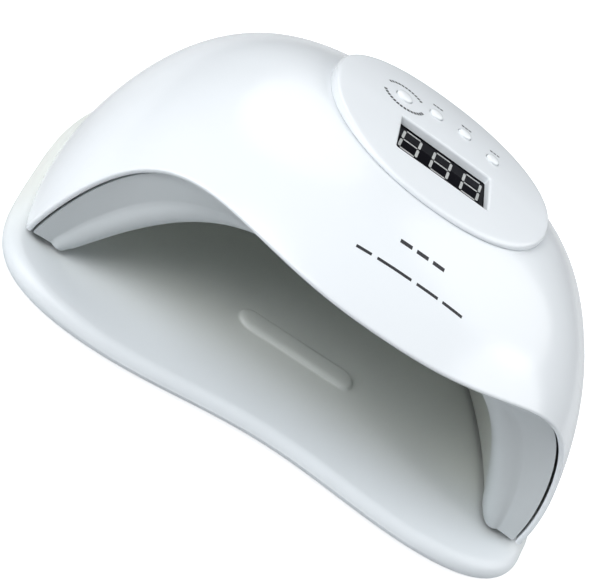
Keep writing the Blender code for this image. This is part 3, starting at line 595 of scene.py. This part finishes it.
def lathe(bm, profile, n, at=(0, 0, 0), axis=(0, 0, 1), phase=0.0):
    z = Vector(axis).normalized()
    x = z.orthogonal().normalized()
    y = z.cross(x)
    o = Vector(at)
    rings = []
    for r, h in profile:
        if r < 1e-6:
            rings.append([bm.verts.new(o + z * h)])
        else:
            rings.append([bm.verts.new(o + z * h + (x * cos(phase + 2 * pi * j / n) + y * sin(phase + 2 * pi * j / n)) * r)
                          for j in range(n)])
    for a, b in zip(rings, rings[1:]):
        for j in range(n):
            k = (j + 1) % n
            if len(a) == 1:
                bm.faces.new((a[0], b[j], b[k]))
            elif len(b) == 1:
                bm.faces.new((a[j], b[0], a[k]))
            else:
                bm.faces.new((a[j], b[j], b[k], a[k]))


def prism(bm, outline, z0, z1, mat4=None):
    lo = [bm.verts.new(mat4 @ Vector((x, y, z0)) if mat4 else Vector((x, y, z0))) for x, y in outline]
    hi = [bm.verts.new(mat4 @ Vector((x, y, z1)) if mat4 else Vector((x, y, z1))) for x, y in outline]
    bm.faces.new(list(reversed(lo)))
    bm.faces.new(hi)
    n = len(outline)
    for j in range(n):
        k = (j + 1) % n
        bm.faces.new((lo[j], lo[k], hi[k], hi[j]))


def rounded_rect(x0, y0, x1, y1, r, n=4):
    pts = []
    for cx, cy, a0 in ((x1 - r, y1 - r, 0), (x0 + r, y1 - r, 90), (x0 + r, y0 + r, 180), (x1 - r, y0 + r, 270)):
        for i in range(n + 1):
            a = radians(a0 + 90 * i / n)
            pts.append((cx + r * cos(a), cy + r * sin(a)))
    return pts


# ---- outer shell --------------------------------------------------------------
N_ARCH, N_BACK, N_UP = 200, 150, 46


def shell_columns():
    cols = []
    for i in range(N_ARCH + 1):
        cols.append(arch_column(-ARCH_X * cos(pi * i / N_ARCH)))
    u0 = cols[-1][0]
    for i in range(1, N_BACK):
        cols.append((u0 + (pi - 2 * u0) * i / N_BACK, 0.0))
    return cols


def build_shell():
    cols = shell_columns()
    tops = [hole_t(u, HOLE_Q) for u, _ in cols]
    outer, inner = [], []
    for i in range(N_UP + 1):
        tau = 1 - (1 - i / N_UP) ** 1.7
        po, pi_ = [], []
        for (u, t0), th in zip(cols, tops):
            t = t0 + (th - t0) * tau
            p, n = dome(u, t), dome_normal(u, max(t, 1e-3))
            po.append(p)
            pi_.append(p - n * WALL)
        outer.append(po)
        inner.append(pi_)
    n = len(cols)
    lip = []
    steps = 8
    p0, p1 = outer[0], outer[1]
    nor = [dome_normal(u, max(t, 1e-3)) for u, t in cols]
    lips = [[] for _ in range(steps + 1)]
    h = WALL / 2
    new0, newi = [], []
    for j in range(n):
        e = (p0[(j + 1) % n] - p0[j - 1]).normalized()
        d = nor[j].cross(e).normalized()
        if d.dot(p0[j] - p1[j]) < 0:
            d = -d
        d = (d - nor[j] * d.dot(nor[j])).normalized()
        c = p0[j] - nor[j] * h - d * (h * 0.98)
        for s in range(steps + 1):
            a = pi * s / steps
            lips[s].append(c + nor[j] * (h * sgnpow(cos(a), 0.62)) + d * (h * sgnpow(sin(a), 0.62)))
    rows = lips[::-1] + outer[1:] + inner[:0:-1]
    bm = bmesh.new()
    grid(bm, rows, closed=True, wrap=True)
    ob = mesh_from(bm, "shell_moulding", M_SHELL, 50)
    # power inlet hole and the two rows of cooling slots at the rear
    bm = bmesh.new()
    lathe(bm, [(0, 60.0), (5.4, 60.0), (5.4, 130.0), (0, 130.0)], 40, (JACK_X, 0, JACK_Z), (0, 1, 0))
    m4 = Matrix(((1, 0, 0, 0), (0, 0, 1, 0), (0, 1, 0, 0), (0, 0, 0, 1)))
    for side in (-1, 1):
        for k in range(6):
            x = side * (20.0 + 5.0 * k)
            prism(bm, rounded_rect(x - 1.1, 31.0, x + 1.1, 49.0, 1.05, 6), 50.0, 120.0, m4)
    cut = mesh_from(bm, "shell_cutter", None, 0)
    boolean(ob, [cut], sharp=50)
    return piece(ob, "lamp", "shell", "outer_shell")


build_shell()

# ---- oval control panel ---------------------------------------------------------
NP = 168
WIN_Z = panel_top_xy(0, (WIN_Y0 + WIN_Y1) / 2)
FACE_Z = WIN_Z - WIN_DEPTH


def window_outline(off):
    # evenly subdivided rounded rectangle, grown by off
    r = 0.7 + off
    x0, x1, y0, y1 = -WIN_X - off, WIN_X + off, WIN_Y0 - off, WIN_Y1 + off
    pts = []
    for cx, cy, a0, sx, sy, n in ((x1 - r, y1 - r, 0, -1, 0, 26), (x0 + r, y1 - r, 90, 0, -1, 14), (x0 + r, y0 + r, 180, 1, 0, 26), (x1 - r, y0 + r, 270, 0, 1, 14)):
        for i in range(7):
            a = radians(a0 + 15 * i)
            pts.append((cx + r * cos(a), cy + r * sin(a)))
        span = (x1 - x0 if sx else y1 - y0) - 2 * r
        px, py = pts[-1]
        for i in range(1, n):
            pts.append((px + sx * span * i / n, py + sy * span * i / n))
    return pts


def build_panel():
    ang = [2 * pi * j / NP for j in range(NP)]
    edge_z = [panel_edge_z(a) for a in ang]
    wall = [panel_wall(panel_edge(a, 1.0)[1]) for a in ang]
    rows = []
    for i in range(1, 25):
        q = 0.04 * i
        rows.append([Vector((*panel_edge(a, q), edge_z[j] * q * q + PANEL_CROWN_Z * (1 - q * q))) for j, a in enumerate(ang)])
    for s in range(1, 8):
        f = s / 7
        r = []
        for j, a in enumerate(ang):
            rad = min(1.15, wall[j] * 0.6)
            q = 1 - (rad / 46.0) * (1 - sin(f * pi / 2))
            drop = rad * (1 - cos(f * pi / 2))
            z = edge_z[j] * q * q + PANEL_CROWN_Z * (1 - q * q) - drop
            r.append(Vector((*panel_edge(a, q), z)))
        rows.append(r)
    foot = [dome_z(*panel_edge(a, 1.0)) + 0.32 for a in ang]
    top = rows[-1]
    for f in (0.35, 0.7, 1.0):
        rows.append([Vector((p.x, p.y, p.z + (foot[j] - p.z) * f)) for j, p in enumerate(top)])
    for q in (0.93, 0.875):
        rows.append([Vector((x, y, dome_z(x, y) + 0.32)) for x, y in (panel_edge(a, q) for a in ang)])
    for q in (0.80, 0.6, 0.4, 0.2):
        rows.append([Vector((*panel_edge(a, q), edge_z[j] * q * q + PANEL_CROWN_Z * (1 - q * q) - PANEL_SKIN)) for j, a in enumerate(ang)])
    bm = bmesh.new()
    vs = grid(bm, rows, closed=True)
    fan(bm, vs[0], (0, PANEL_CY, PANEL_CROWN_Z))
    fan(bm, vs[-1], (0, PANEL_CY, PANEL_CROWN_Z - PANEL_SKIN), True)
    ob = mesh_from(bm, "panel_cover", M_PANEL, 50)
    bm = bmesh.new()
    lo, hi = [], []
    for x, y in rounded_rect(-WIN_X - 2.0, WIN_Y0 - 2.0, WIN_X + 2.0, WIN_Y1 + 2.0, 1.5, 4):
        lo.append(bm.verts.new((x, y, FACE_Z + 0.3)))
        hi.append(bm.verts.new((x, y, panel_top_xy(x, y) - 1.0)))
    bm.faces.new(list(reversed(lo)))
    crown = bm.verts.new((0, (WIN_Y0 + WIN_Y1) / 2, WIN_Z - 1.0))
    for j in range(len(lo)):
        k = (j + 1) % len(lo)
        bm.faces.new((lo[j], lo[k], hi[k], hi[j]))
        bm.faces.new((crown, hi[j], hi[k]))
    collar = mesh_from(bm, "collar", None, 0)
    boolean(ob, [collar], "UNION", sharp=0)
    bm = bmesh.new()
    # window with a filleted upper edge that follows the crown of the panel
    def window_ring(off, dz, flat=None):
        out = []
        for x, y in window_outline(off):
            out.append(Vector((x, y, flat if flat is not None else panel_top_xy(x, y) + dz)))
        return out

    fr = 0.85
    rings = [window_ring(0, 0, FACE_Z - 2.0), window_ring(0, -fr)]
    for s in range(1, 7):
        f = radians(15 * s)
        rings.append(window_ring(fr * (1 - cos(f)), -fr + fr * sin(f) + (0.02 if s == 6 else 0)))
    rings.append(window_ring(fr + 0.02, 3.0))
    vv = grid(bm, rings, closed=True)
    bm.faces.new(list(reversed(vv[0])))
    fan(bm, vv[-1], (0, (WIN_Y0 + WIN_Y1) / 2, WIN_Z + 3.2))
    for name, x, y, r in BUTTONS:
        lathe(bm, [(0, 85), (r + 0.35, 85), (r + 0.35, 104), (0, 104)], 48, (x, y, 0))
    cut = mesh_from(bm, "panel_cutter", None, 0)
    boolean(ob, [cut], sharp=40)
    bv = ob.modifiers.new("edge_rounding", "BEVEL")
    bv.width = 0.00022
    bv.segments = 2
    bv.limit_method = "ANGLE"
    bv.angle_limit = radians(55)
    bv.use_clamp_overlap = True
    return piece(ob, "lamp", "panel", "control_panel")


build_panel()

# ---- buttons -------------------------------------------------------------------
for name, x, y, r in BUTTONS:
    zt = panel_top_xy(x, y)
    under = zt - PANEL_SKIN - 0.35
    low = FACE_Z - 5.2 + 2.6 + 0.5 + 0.3
    bm = bmesh.new()
    lathe(bm, [(0, low), (1.3, low), (1.3, under - 0.8), (r + 0.9, under - 0.8), (r + 0.9, under), (r, under),
               (r, zt + 0.2), (r * 0.995, zt + 0.38), (r * 0.97, zt + 0.56), (r * 0.92, zt + 0.72), (r * 0.84, zt + 0.85),
               (r * 0.7, zt + 0.98), (r * 0.5, zt + 1.09), (r * 0.25, zt + 1.17), (0, zt + 1.2)], 64, (x, y, 0))
    ob = mesh_from(bm, name + "_cap", M_BUTTON, 50)
    piece(ob, name, "button", name)

# ---- display digits ------------------------------------------------------------
def segment(bm, a, b, w, z0, z1):
    # flat bar with pointed ends between two points
    a, b = Vector(a), Vector(b)
    d = (b - a).normalized()
    n = Vector((-d.y, d.x))
    h = w / 2
    pts = [a, a + d * h + n * h, b - d * h + n * h, b, b - d * h - n * h, a + d * h - n * h]
    prism(bm, [(p.x, p.y) for p in pts][::-1], z0, z1)


bm = bmesh.new()
SLANT = 0.134
for k in range(3):
    cx, cy = -13.0 + 13.3 * k, -14.4
    for sx, sy, ex, ey, w in ((-3.6, 6.8, 3.6, 6.8, 0.85), (-3.6, 0, 3.6, 0, 0.85), (-3.6, -6.8, 3.6, -6.8, 0.85),
                              (-3.6, 6.8, -3.6, 0, 1.1), (3.6, 6.8, 3.6, 0, 1.1), (-3.6, 0, -3.6, -6.8, 1.1), (3.6, 0, 3.6, -6.8, 1.1)):
        g = 0.42
        a, b = Vector((sx, sy)), Vector((ex, ey))
        d = (b - a).normalized()
        a, b = a + d * g, b - d * g
        pa = (cx + a.x + SLANT * a.y, cy + a.y)
        pb = (cx + b.x + SLANT * b.y, cy + b.y)
        segment(bm, pa, pb, w, FACE_Z + 0.01, FACE_Z + 0.05)
piece(mesh_from(bm, "display_digits", M_DIGIT, 30), "lamp", "display_block")


# ---- plain pad-printed dashes ----------------------------------------------------
def dash(bm, pts_in, pts_out, surf, lift=0.035, thick=0.03):
    """A thin ink patch between two polylines laid on a surface."""
    a = [bm.verts.new((x, y, surf(x, y) + lift)) for x, y in pts_in]
    b = [bm.verts.new((x, y, surf(x, y) + lift)) for x, y in pts_out]
    c = [bm.verts.new((x, y, surf(x, y) + lift - thick)) for x, y in pts_in]
    d = [bm.verts.new((x, y, surf(x, y) + lift - thick)) for x, y in pts_out]
    for i in range(len(a) - 1):
        bm.faces.new((a[i], a[i + 1], b[i + 1], b[i]))
        bm.faces.new((c[i], d[i], d[i + 1], c[i + 1]))
        bm.faces.new((a[i], c[i], c[i + 1], a[i + 1]))
        bm.faces.new((b[i], b[i + 1], d[i + 1], d[i]))
    bm.faces.new((a[0], b[0], d[0], c[0]))
    bm.faces.new((a[-1], c[-1], d[-1], b[-1]))


def ring_dash(bm, cx, cy, r, w, a0, a1, surf):
    n = 5
    angs = [radians(a0 + (a1 - a0) * i / n) for i in range(n + 1)]
    dash(bm, [(cx + (r - w / 2) * cos(a), cy + (r - w / 2) * sin(a)) for a in angs],
         [(cx + (r + w / 2) * cos(a), cy + (r + w / 2) * sin(a)) for a in angs], surf)


def bar(bm, cx, cy, length, width, surf, n=8):
    xs = [cx - length / 2 + length * i / n for i in range(n + 1)]
    dash(bm, [(x, cy - width / 2) for x in xs], [(x, cy + width / 2) for x in xs], surf)


bm = bmesh.new()
for k in range(11):
    ring_dash(bm, -19.9, 8.8, 8.8, 1.3, 36 + 10.0 * k, 36 + 10.0 * k + 6.8, panel_top_xy)
for k in range(14):
    ring_dash(bm, -20.1, 8.7, 8.7, 1.35, 199 + 10.3 * k, 199 + 10.3 * k + 6.9, panel_top_xy)
for x, y in ((-5.2, 20.7), (8.2, 20.3), (21.7, 16.5)):
    for s in (-1.62, 0.0, 1.62):
        bar(bm, x + s, y, 1.2, 1.05, panel_top_xy, 2)
piece(mesh_from(bm, "panel_print", M_INK, 30), "lamp", "panel")
bm = bmesh.new()
for s in (-6.4, 0.0, 6.4):
    bar(bm, s + 0.3, -67.6, 4.6, 1.5, dome_z)
for s, l in ((-18.2, 5.6), (-6.8, 13.0), (6.0, 8.4), (16.2, 8.2)):
    bar(bm, s, -78.0, l, 1.0, dome_z, 12)
piece(mesh_from(bm, "brow_print", M_INK, 30), "lamp", "shell")

# ---- chamber liner -----------------------------------------------------------
PH1 = radians(4.5)
NT = 180


def build_liner():
    ths = [pi * j / NT for j in range(NT + 1)]
    edge = [flange_edge(th) for th in ths]
    mouth = [mouth_pt(th) for th in ths]
    rows = []
    for i in range(12):
        f = 0.55 * i / 12
        rows.append([e.lerp(m, f) for e, m in zip(edge, mouth)])
    for i in range(15):
        s = i / 14
        r = []
        for th, e, mm in zip(ths, edge, mouth):
            a = e.lerp(mm, 0.55)
            c = chamber(th, PH1)
            m = mm * 2 - (a + c) * 0.5
            m.z = max(m.z, MOUTH_Z)
            r.append(a * (1 - s) ** 2 + m * 2 * s * (1 - s) + c * s * s)
        rows.append(r)
    for i in range(1, 56):
        ph = PH1 + (radians(88.5) - PH1) * i / 55
        rows.append([chamber(th, ph) for th in ths])
    bm = bmesh.new()
    vs = grid(bm, rows)
    pole = bm.verts.new((0, MOUTH_Y + CAV_DEPTH, MOUTH_Z))
    for j in range(NT):
        bm.faces.new((vs[-1][j], vs[-1][j + 1], pole))
    bmesh.ops.recalc_face_normals(bm, faces=bm.faces)
    ref = max(bm.faces, key=lambda f: f.calc_center_median().z)
    if ref.normal.z > 0:
        bmesh.ops.reverse_faces(bm, faces=bm.faces)
    me = bpy.data.meshes.new("chamber_liner")
    for v in bm.verts:
        v.co = v.co * MM
    for f in bm.faces:
        f.smooth = True
    bm.to_mesh(me)
    bm.free()
    me.materials.append(M_LINER.m)
    ob = bpy.data.objects.new("chamber_liner", me)
    bpy.context.scene.collection.objects.link(ob)
    sol = ob.modifiers.new("wall", "SOLIDIFY")
    sol.thickness = LINER_T * MM
    sol.offset = -1
    sol.use_even_offset = False
    bake(ob, 50)
    bm = bmesh.new()
    for ph, n, a0 in LED_ROWS:
        for i in range(n):
            th = radians(a0 + (180 - 2 * a0) * i / (n - 1))
            lathe(bm, [(0, -3.0), (1.95, -3.0), (1.95, 2.5), (0, 2.5)], 28, chamber(th, radians(ph)), chamber_normal(th, radians(ph)))
    lathe(bm, [(0, -4.0), (2.9, -4.0), (2.9, 3.0), (0, 3.0)], 32, SP, SN)
    cut = mesh_from(bm, "liner_cutter", None, 0)
    boolean(ob, [cut], sharp=50)
    return piece(ob, "lamp", "liner", "inner_liner")


LED_ROWS = [(16, 10, 30), (32, 10, 30), (48, 9, 32), (64, 7, 38)]
SP, SN = chamber(radians(90), radians(24)), chamber_normal(radians(90), radians(24))
build_liner()

# LED strips behind the liner, each with its dies and clear lenses
for k, (ph, n, a0) in enumerate(LED_ROWS):
    bm = bmesh.new()
    a1, ns = a0 - 6, 72
    outer, inner = [], []
    for w in (-4.0, -3.9, 0.0, 3.9, 4.0):
        ro, ri = [], []
        for i in range(ns + 1):
            th = radians(a1 + (180 - 2 * a1) * i / ns)
            c = chamber(th, radians(ph))
            nn = chamber_normal(th, radians(ph))
            tang = (chamber(th, radians(ph) + 1e-3) - chamber(th, radians(ph) - 1e-3)).normalized()
            ri.append(c + tang * w - nn * 2.75)
            ro.append(c + tang * w - nn * 3.55)
        inner.append(ri)
        outer.append(ro)
    grid(bm, inner + outer[::-1], wrap=True)
    for e in (0, ns):
        ring = [r[e] for r in inner + outer[::-1]]
        vs = [min(bm.verts, key=lambda v, p=p: (v.co - p).length) for p in ring]
        bm.faces.new(vs)
    strip = mesh_from(bm, "led_tape_%d" % (k + 1), M_STRIP, 40)
    piece(strip, "lamp", "led_board", "led_strip_%d" % (k + 1))
    bl, bd = bmesh.new(), bmesh.new()
    for i in range(n):
        th = radians(a0 + (180 - 2 * a0) * i / (n - 1))
        p, nn = chamber(th, radians(ph)), chamber_normal(th, radians(ph))
        lathe(bl, [(0, -0.6), (1.5, -0.6), (1.5, 0.05), (1.44, 0.35), (1.28, 0.62), (1.0, 0.86), (0.62, 1.03), (0.28, 1.1), (0, 1.12)], 28, p, nn)
        lathe(bd, [(0, -2.74), (1.52, -2.74), (1.52, -0.95), (1.3, -0.72), (0.95, -0.78), (0.9, -0.66), (0, -0.64)], 28, p, nn)
    piece(mesh_from(bl, "led_lenses_%d" % (k + 1), M_LENS, 50), "lamp", "led_board")
    piece(mesh_from(bd, "led_dies_%d" % (k + 1), M_DIE, 50), "lamp", "led_board")

bm = bmesh.new()
lathe(bm, [(0, -5.4), (3.6, -5.4), (3.6, -1.5), (2.45, -1.5), (2.45, 0.0), (2.38, 0.35), (2.15, 0.7), (1.75, 0.98), (1.1, 1.2), (0.5, 1.28), (0, 1.3)], 40, SP, SN)
piece(mesh_from(bm, "sensor_window", M_SENSOR, 50), "lamp", "sensor", "hand_sensor")

# ---- power inlet -----------------------------------------------------------------
YB = dome(radians(90), (JACK_Z - DOME_Z0) / DOME_H).y
bm = bmesh.new()
lathe(bm, [(0, -14.0), (6.8, -14.0), (6.8, -WALL - 1.4), (5.0, -WALL - 1.4), (5.0, 0.6), (4.93, 0.82), (4.75, 0.96), (4.5, 1.0),
           (3.35, 1.0), (3.1, 0.9), (2.95, 0.7), (2.9, 0.5), (2.9, -9.5), (0, -9.5)], 64, (JACK_X, YB, JACK_Z), (0, 1, 0))
piece(mesh_from(bm, "inlet_socket", M_JACK, 40), "lamp", "jack", "dc_inlet")
bm = bmesh.new()
lathe(bm, [(0, -9.45), (1.1, -9.45), (1.1, -1.3), (1.02, -1.0), (0.8, -0.78), (0.4, -0.65), (0, -0.6)], 32, (JACK_X, YB, JACK_Z), (0, 1, 0))
piece(mesh_from(bm, "inlet_pin", M_STEEL, 40), "lamp", "jack")


# ---- base tray ---------------------------------------------------------------------
def build_tray():
    nb = 420
    pts, nor = tray_loop(nb)
    rows = []
    for e, z in ((3.2, TRAY_Z0), (2.4, TRAY_Z0 + 0.1), (1.6, TRAY_Z0 + 0.4), (1.0, TRAY_Z0 + 0.9), (0.5, TRAY_Z0 + 1.7), (0.15, TRAY_Z0 + 2.6)):
        rows.append([Vector((p.x + n.x * e, p.y + n.y * e, z)) for p, n in zip(pts, nor)])
    for e in (0.0, 0.06, 0.2, 0.4, 0.7, 1.1, 1.6, 2.2, 2.9, 3.6, 4.2, 4.8, 5.4, 6.0, 6.7, 7.5, 8.4, 9.5, 10.8, 12.4, 14.2, 16.0, 18.0):
        rows.append([Vector((p.x + n.x * e, p.y + n.y * e, max(tray_top(p.x + n.x * e, p.y + n.y * e, e), TRAY_Z0 + 3.0))) for p, n in zip(pts, nor)])
    ring = rows[-1]
    cx, cy = 0.0, DOME_CY + 10
    for s in (0.85, 0.65, 0.45, 0.25):
        rows.append([Vector((cx + (p.x - cx) * s, cy + (p.y - cy) * s, TRAY_FLOOR + (p.z - TRAY_FLOOR) * 0)) for p in ring])
    bm = bmesh.new()
    vs = grid(bm, rows, closed=True)
    fan(bm, vs[-1], (cx, cy, TRAY_FLOOR))
    fan(bm, vs[0], (cx, cy, TRAY_Z0), True)
    # raised finger rest with a filleted foot
    rings = []
    for rr, z in ((BAR_R + 0.7, -0.4), (BAR_R + 0.7, 0.01), (BAR_R + 0.32, 0.07), (BAR_R + 0.1, 0.22), (BAR_R, 0.45), (BAR_R - 0.06, 0.8),
                  (BAR_R - 0.25, 1.15), (BAR_R - 0.6, 1.45), (BAR_R - 1.1, 1.68), (BAR_R - 1.8, 1.83), (BAR_R - 2.8, 1.9)):
        r = []
        for sx in (1, -1):
            for i in range(25):
                a = radians(-90 + 180 * i / 24) if sx > 0 else radians(90 + 180 * i / 24)
                r.append(Vector((BAR_X + sx * (BAR_L - BAR_R) + rr * cos(a), BAR_Y + rr * sin(a), TRAY_FLOOR + z)))
        rings.append(r)
    ob = mesh_from(bm, "tray_moulding", M_TRAY, 60)
    bm = bmesh.new()
    vv = grid(bm, rings, closed=True)
    bm.faces.new(list(reversed(vv[0])))
    bm.faces.new(vv[-1])
    boolean(ob, [mesh_from(bm, "rest_bar", None, 0)], "UNION", sharp=60)
    magnets = []
    for deg in (0, 40, 140, 180):
        u = radians(deg)
        q = dome(u, 0.0) - dome_normal(u, 0.0) * 13.5
        magnets.append((q.x, q.y))
    bm = bmesh.new()
    for x, y in magnets:
        lathe(bm, [(0, 6.6), (4.4, 6.6), (4.4, 14), (0, 14)], 40, (x, y, 0))
    boolean(ob, [mesh_from(bm, "tray_cutter", None, 0)], sharp=60)
    return piece(ob, "tray", "tray", "base_tray")


build_tray()
for i, (x, y) in enumerate([(-86, -68), (86, -68), (-72, 56), (72, 56)]):
    bm = bmesh.new()
    lathe(bm, [(0, 0.35), (3.2, 0.35), (3.5, 0.0), (5.9, 0.0), (6.35, 0.1), (6.7, 0.4), (6.8, 0.75), (6.75, 1.15), (6.5, 1.45), (6.2, 1.7), (0, 1.7)], 56, (x, y, 0))
    piece(mesh_from(bm, "foot_pad_%d" % (i + 1), M_RUBBER, 40), "tray", "rubber_foot", "tray_foot_%d" % (i + 1))

# ---- finishes of the CAD pieces that stay -------------------------------------------
KEEP = {"display_filter": M_BLACK, "display_module": M_MODULE, "button_board": M_PCB, "main_board": M_PCB, "sensor_board": M_PCB,
        "controller_chip": M_CHIP, "power_inductor": M_CHIP, "ribbon_connector": M_CONN, "power_connector": M_CONN,
        "led_connector": M_CONN, "power_lead": M_WIRE_R, "led_lead": M_WIRE_G, "display_ribbon": M_WIRE_G, "lower_frame": M_FRAME}
for i in range(1, 5):
    KEEP["tact_switch_%d" % i] = M_SWITCH
    KEEP["button_board_screw_%d" % i] = M_STEEL
    KEEP["main_board_screw_%d" % i] = M_STEEL
    KEEP["frame_screw_%d" % i] = M_STEEL
    KEEP["lamp_magnet_%d" % i] = M_NICKEL
    KEEP["tray_magnet_%d" % i] = M_NICKEL
    if i < 3:
        KEEP["board_capacitor_%d" % i] = M_CAN
for n, mat in KEEP.items():
    ob = NODES[n]
    ob.data.materials.clear()
    ob.data.materials.append(mat.m)


# ---- floor, light and camera ----------------------------------------------------------
def floor():
    bm = bmesh.new()
    s = 3000.0
    vs = [bm.verts.new((x * s, y * s, -0.05)) for x, y in ((-1, -1), (1, -1), (1, 1), (-1, 1))]
    bm.faces.new(vs)
    m = Mat("studio_floor")
    n = m.noise(3.0, 2.0)
    c = m.mix(m.remap(n, 0.3, 0.7, 0.0, 1.0), (0.60, 0.61, 0.62), (0.62, 0.63, 0.64))
    m.color(c)
    m.rough(0.9)
    m.bump(m.noise(400.0), 0.02, 0.0002)
    lp = m.nt.nodes.new("ShaderNodeLightPath")
    m.set(Emission_Color=(0.98, 0.99, 1.0, 1.0))
    m.link(m.math("MULTIPLY", lp.outputs["Is Camera Ray"], FLOOR_GLOW), m.b.inputs["Emission Strength"])
    ob = mesh_from(bm, "studio_floor", m, 0)


FLOOR_GLOW = 0.78
floor()


def area(name, loc, target, size, power, color=(1, 1, 1), size_y=None):
    d = bpy.data.lights.new(name, "AREA")
    d.shape = "RECTANGLE"
    d.size = size
    d.size_y = size_y or size
    d.energy = power
    d.color = color
    ob = bpy.data.objects.new(name, d)
    bpy.context.scene.collection.objects.link(ob)
    ob.location = loc
    ob.rotation_euler = (Vector(target) - Vector(loc)).to_track_quat("-Z", "Y").to_euler()
    return ob


def soft(name, az, el, power, size, color=(1, 1, 1)):
    # a round softbox 1.4 m away, aimed at the part
    a, e, d = radians(az), radians(el), 1.4
    ob = area(name, (sin(a) * cos(e) * d, -cos(a) * cos(e) * d - 0.02, sin(e) * d + 0.05), (0, -0.02, 0.05), size, power, color)
    ob.data.shape = "DISK"
    return ob


soft("key_low", -62, 25, 10.6, 1.1, (0.97, 0.985, 1.0))
soft("key_high", -48, 52, 9.8, 1.2, (0.98, 0.99, 1.0))
soft("right_fill", 84, 34, 9.0, 1.2, (0.98, 0.99, 1.0))
soft("rear_left", -160, 45, 3.4, 1.0)
soft("rear_right", 130, 45, 3.6, 1.0)

world = bpy.data.worlds.new("studio_world")
bpy.context.scene.world = world
world.use_nodes = True
wn = world.node_tree
bg = wn.nodes["Background"]
bg.inputs["Color"].default_value = (0.90, 0.95, 1.0, 1.0)
bg.inputs["Strength"].default_value = 0.10

cam_data = bpy.data.cameras.new("camera")
cam_data.lens = 75.83
cam_data.sensor_width = 36.0
cam_data.sensor_fit = "HORIZONTAL"
cam_data.clip_start = 0.01
cam_data.clip_end = 20.0
cam = bpy.data.objects.new("camera", cam_data)
bpy.context.scene.collection.objects.link(cam)
R = ((0.8115382, 0.1491672, 0.5649379), (-0.5406259, 0.5584695, 0.6291546), (-0.2216513, -0.8160031, 0.5338630))
cam.matrix_world = Matrix(((R[0][0], R[1][0], R[2][0], -0.1130), (R[0][1], R[1][1], R[2][1], -0.4002),
                           (R[0][2], R[1][2], R[2][2], 0.2696), (0, 0, 0, 1)))
bpy.context.scene.camera = cam
bpy.context.scene.view_settings.view_transform = "Standard"
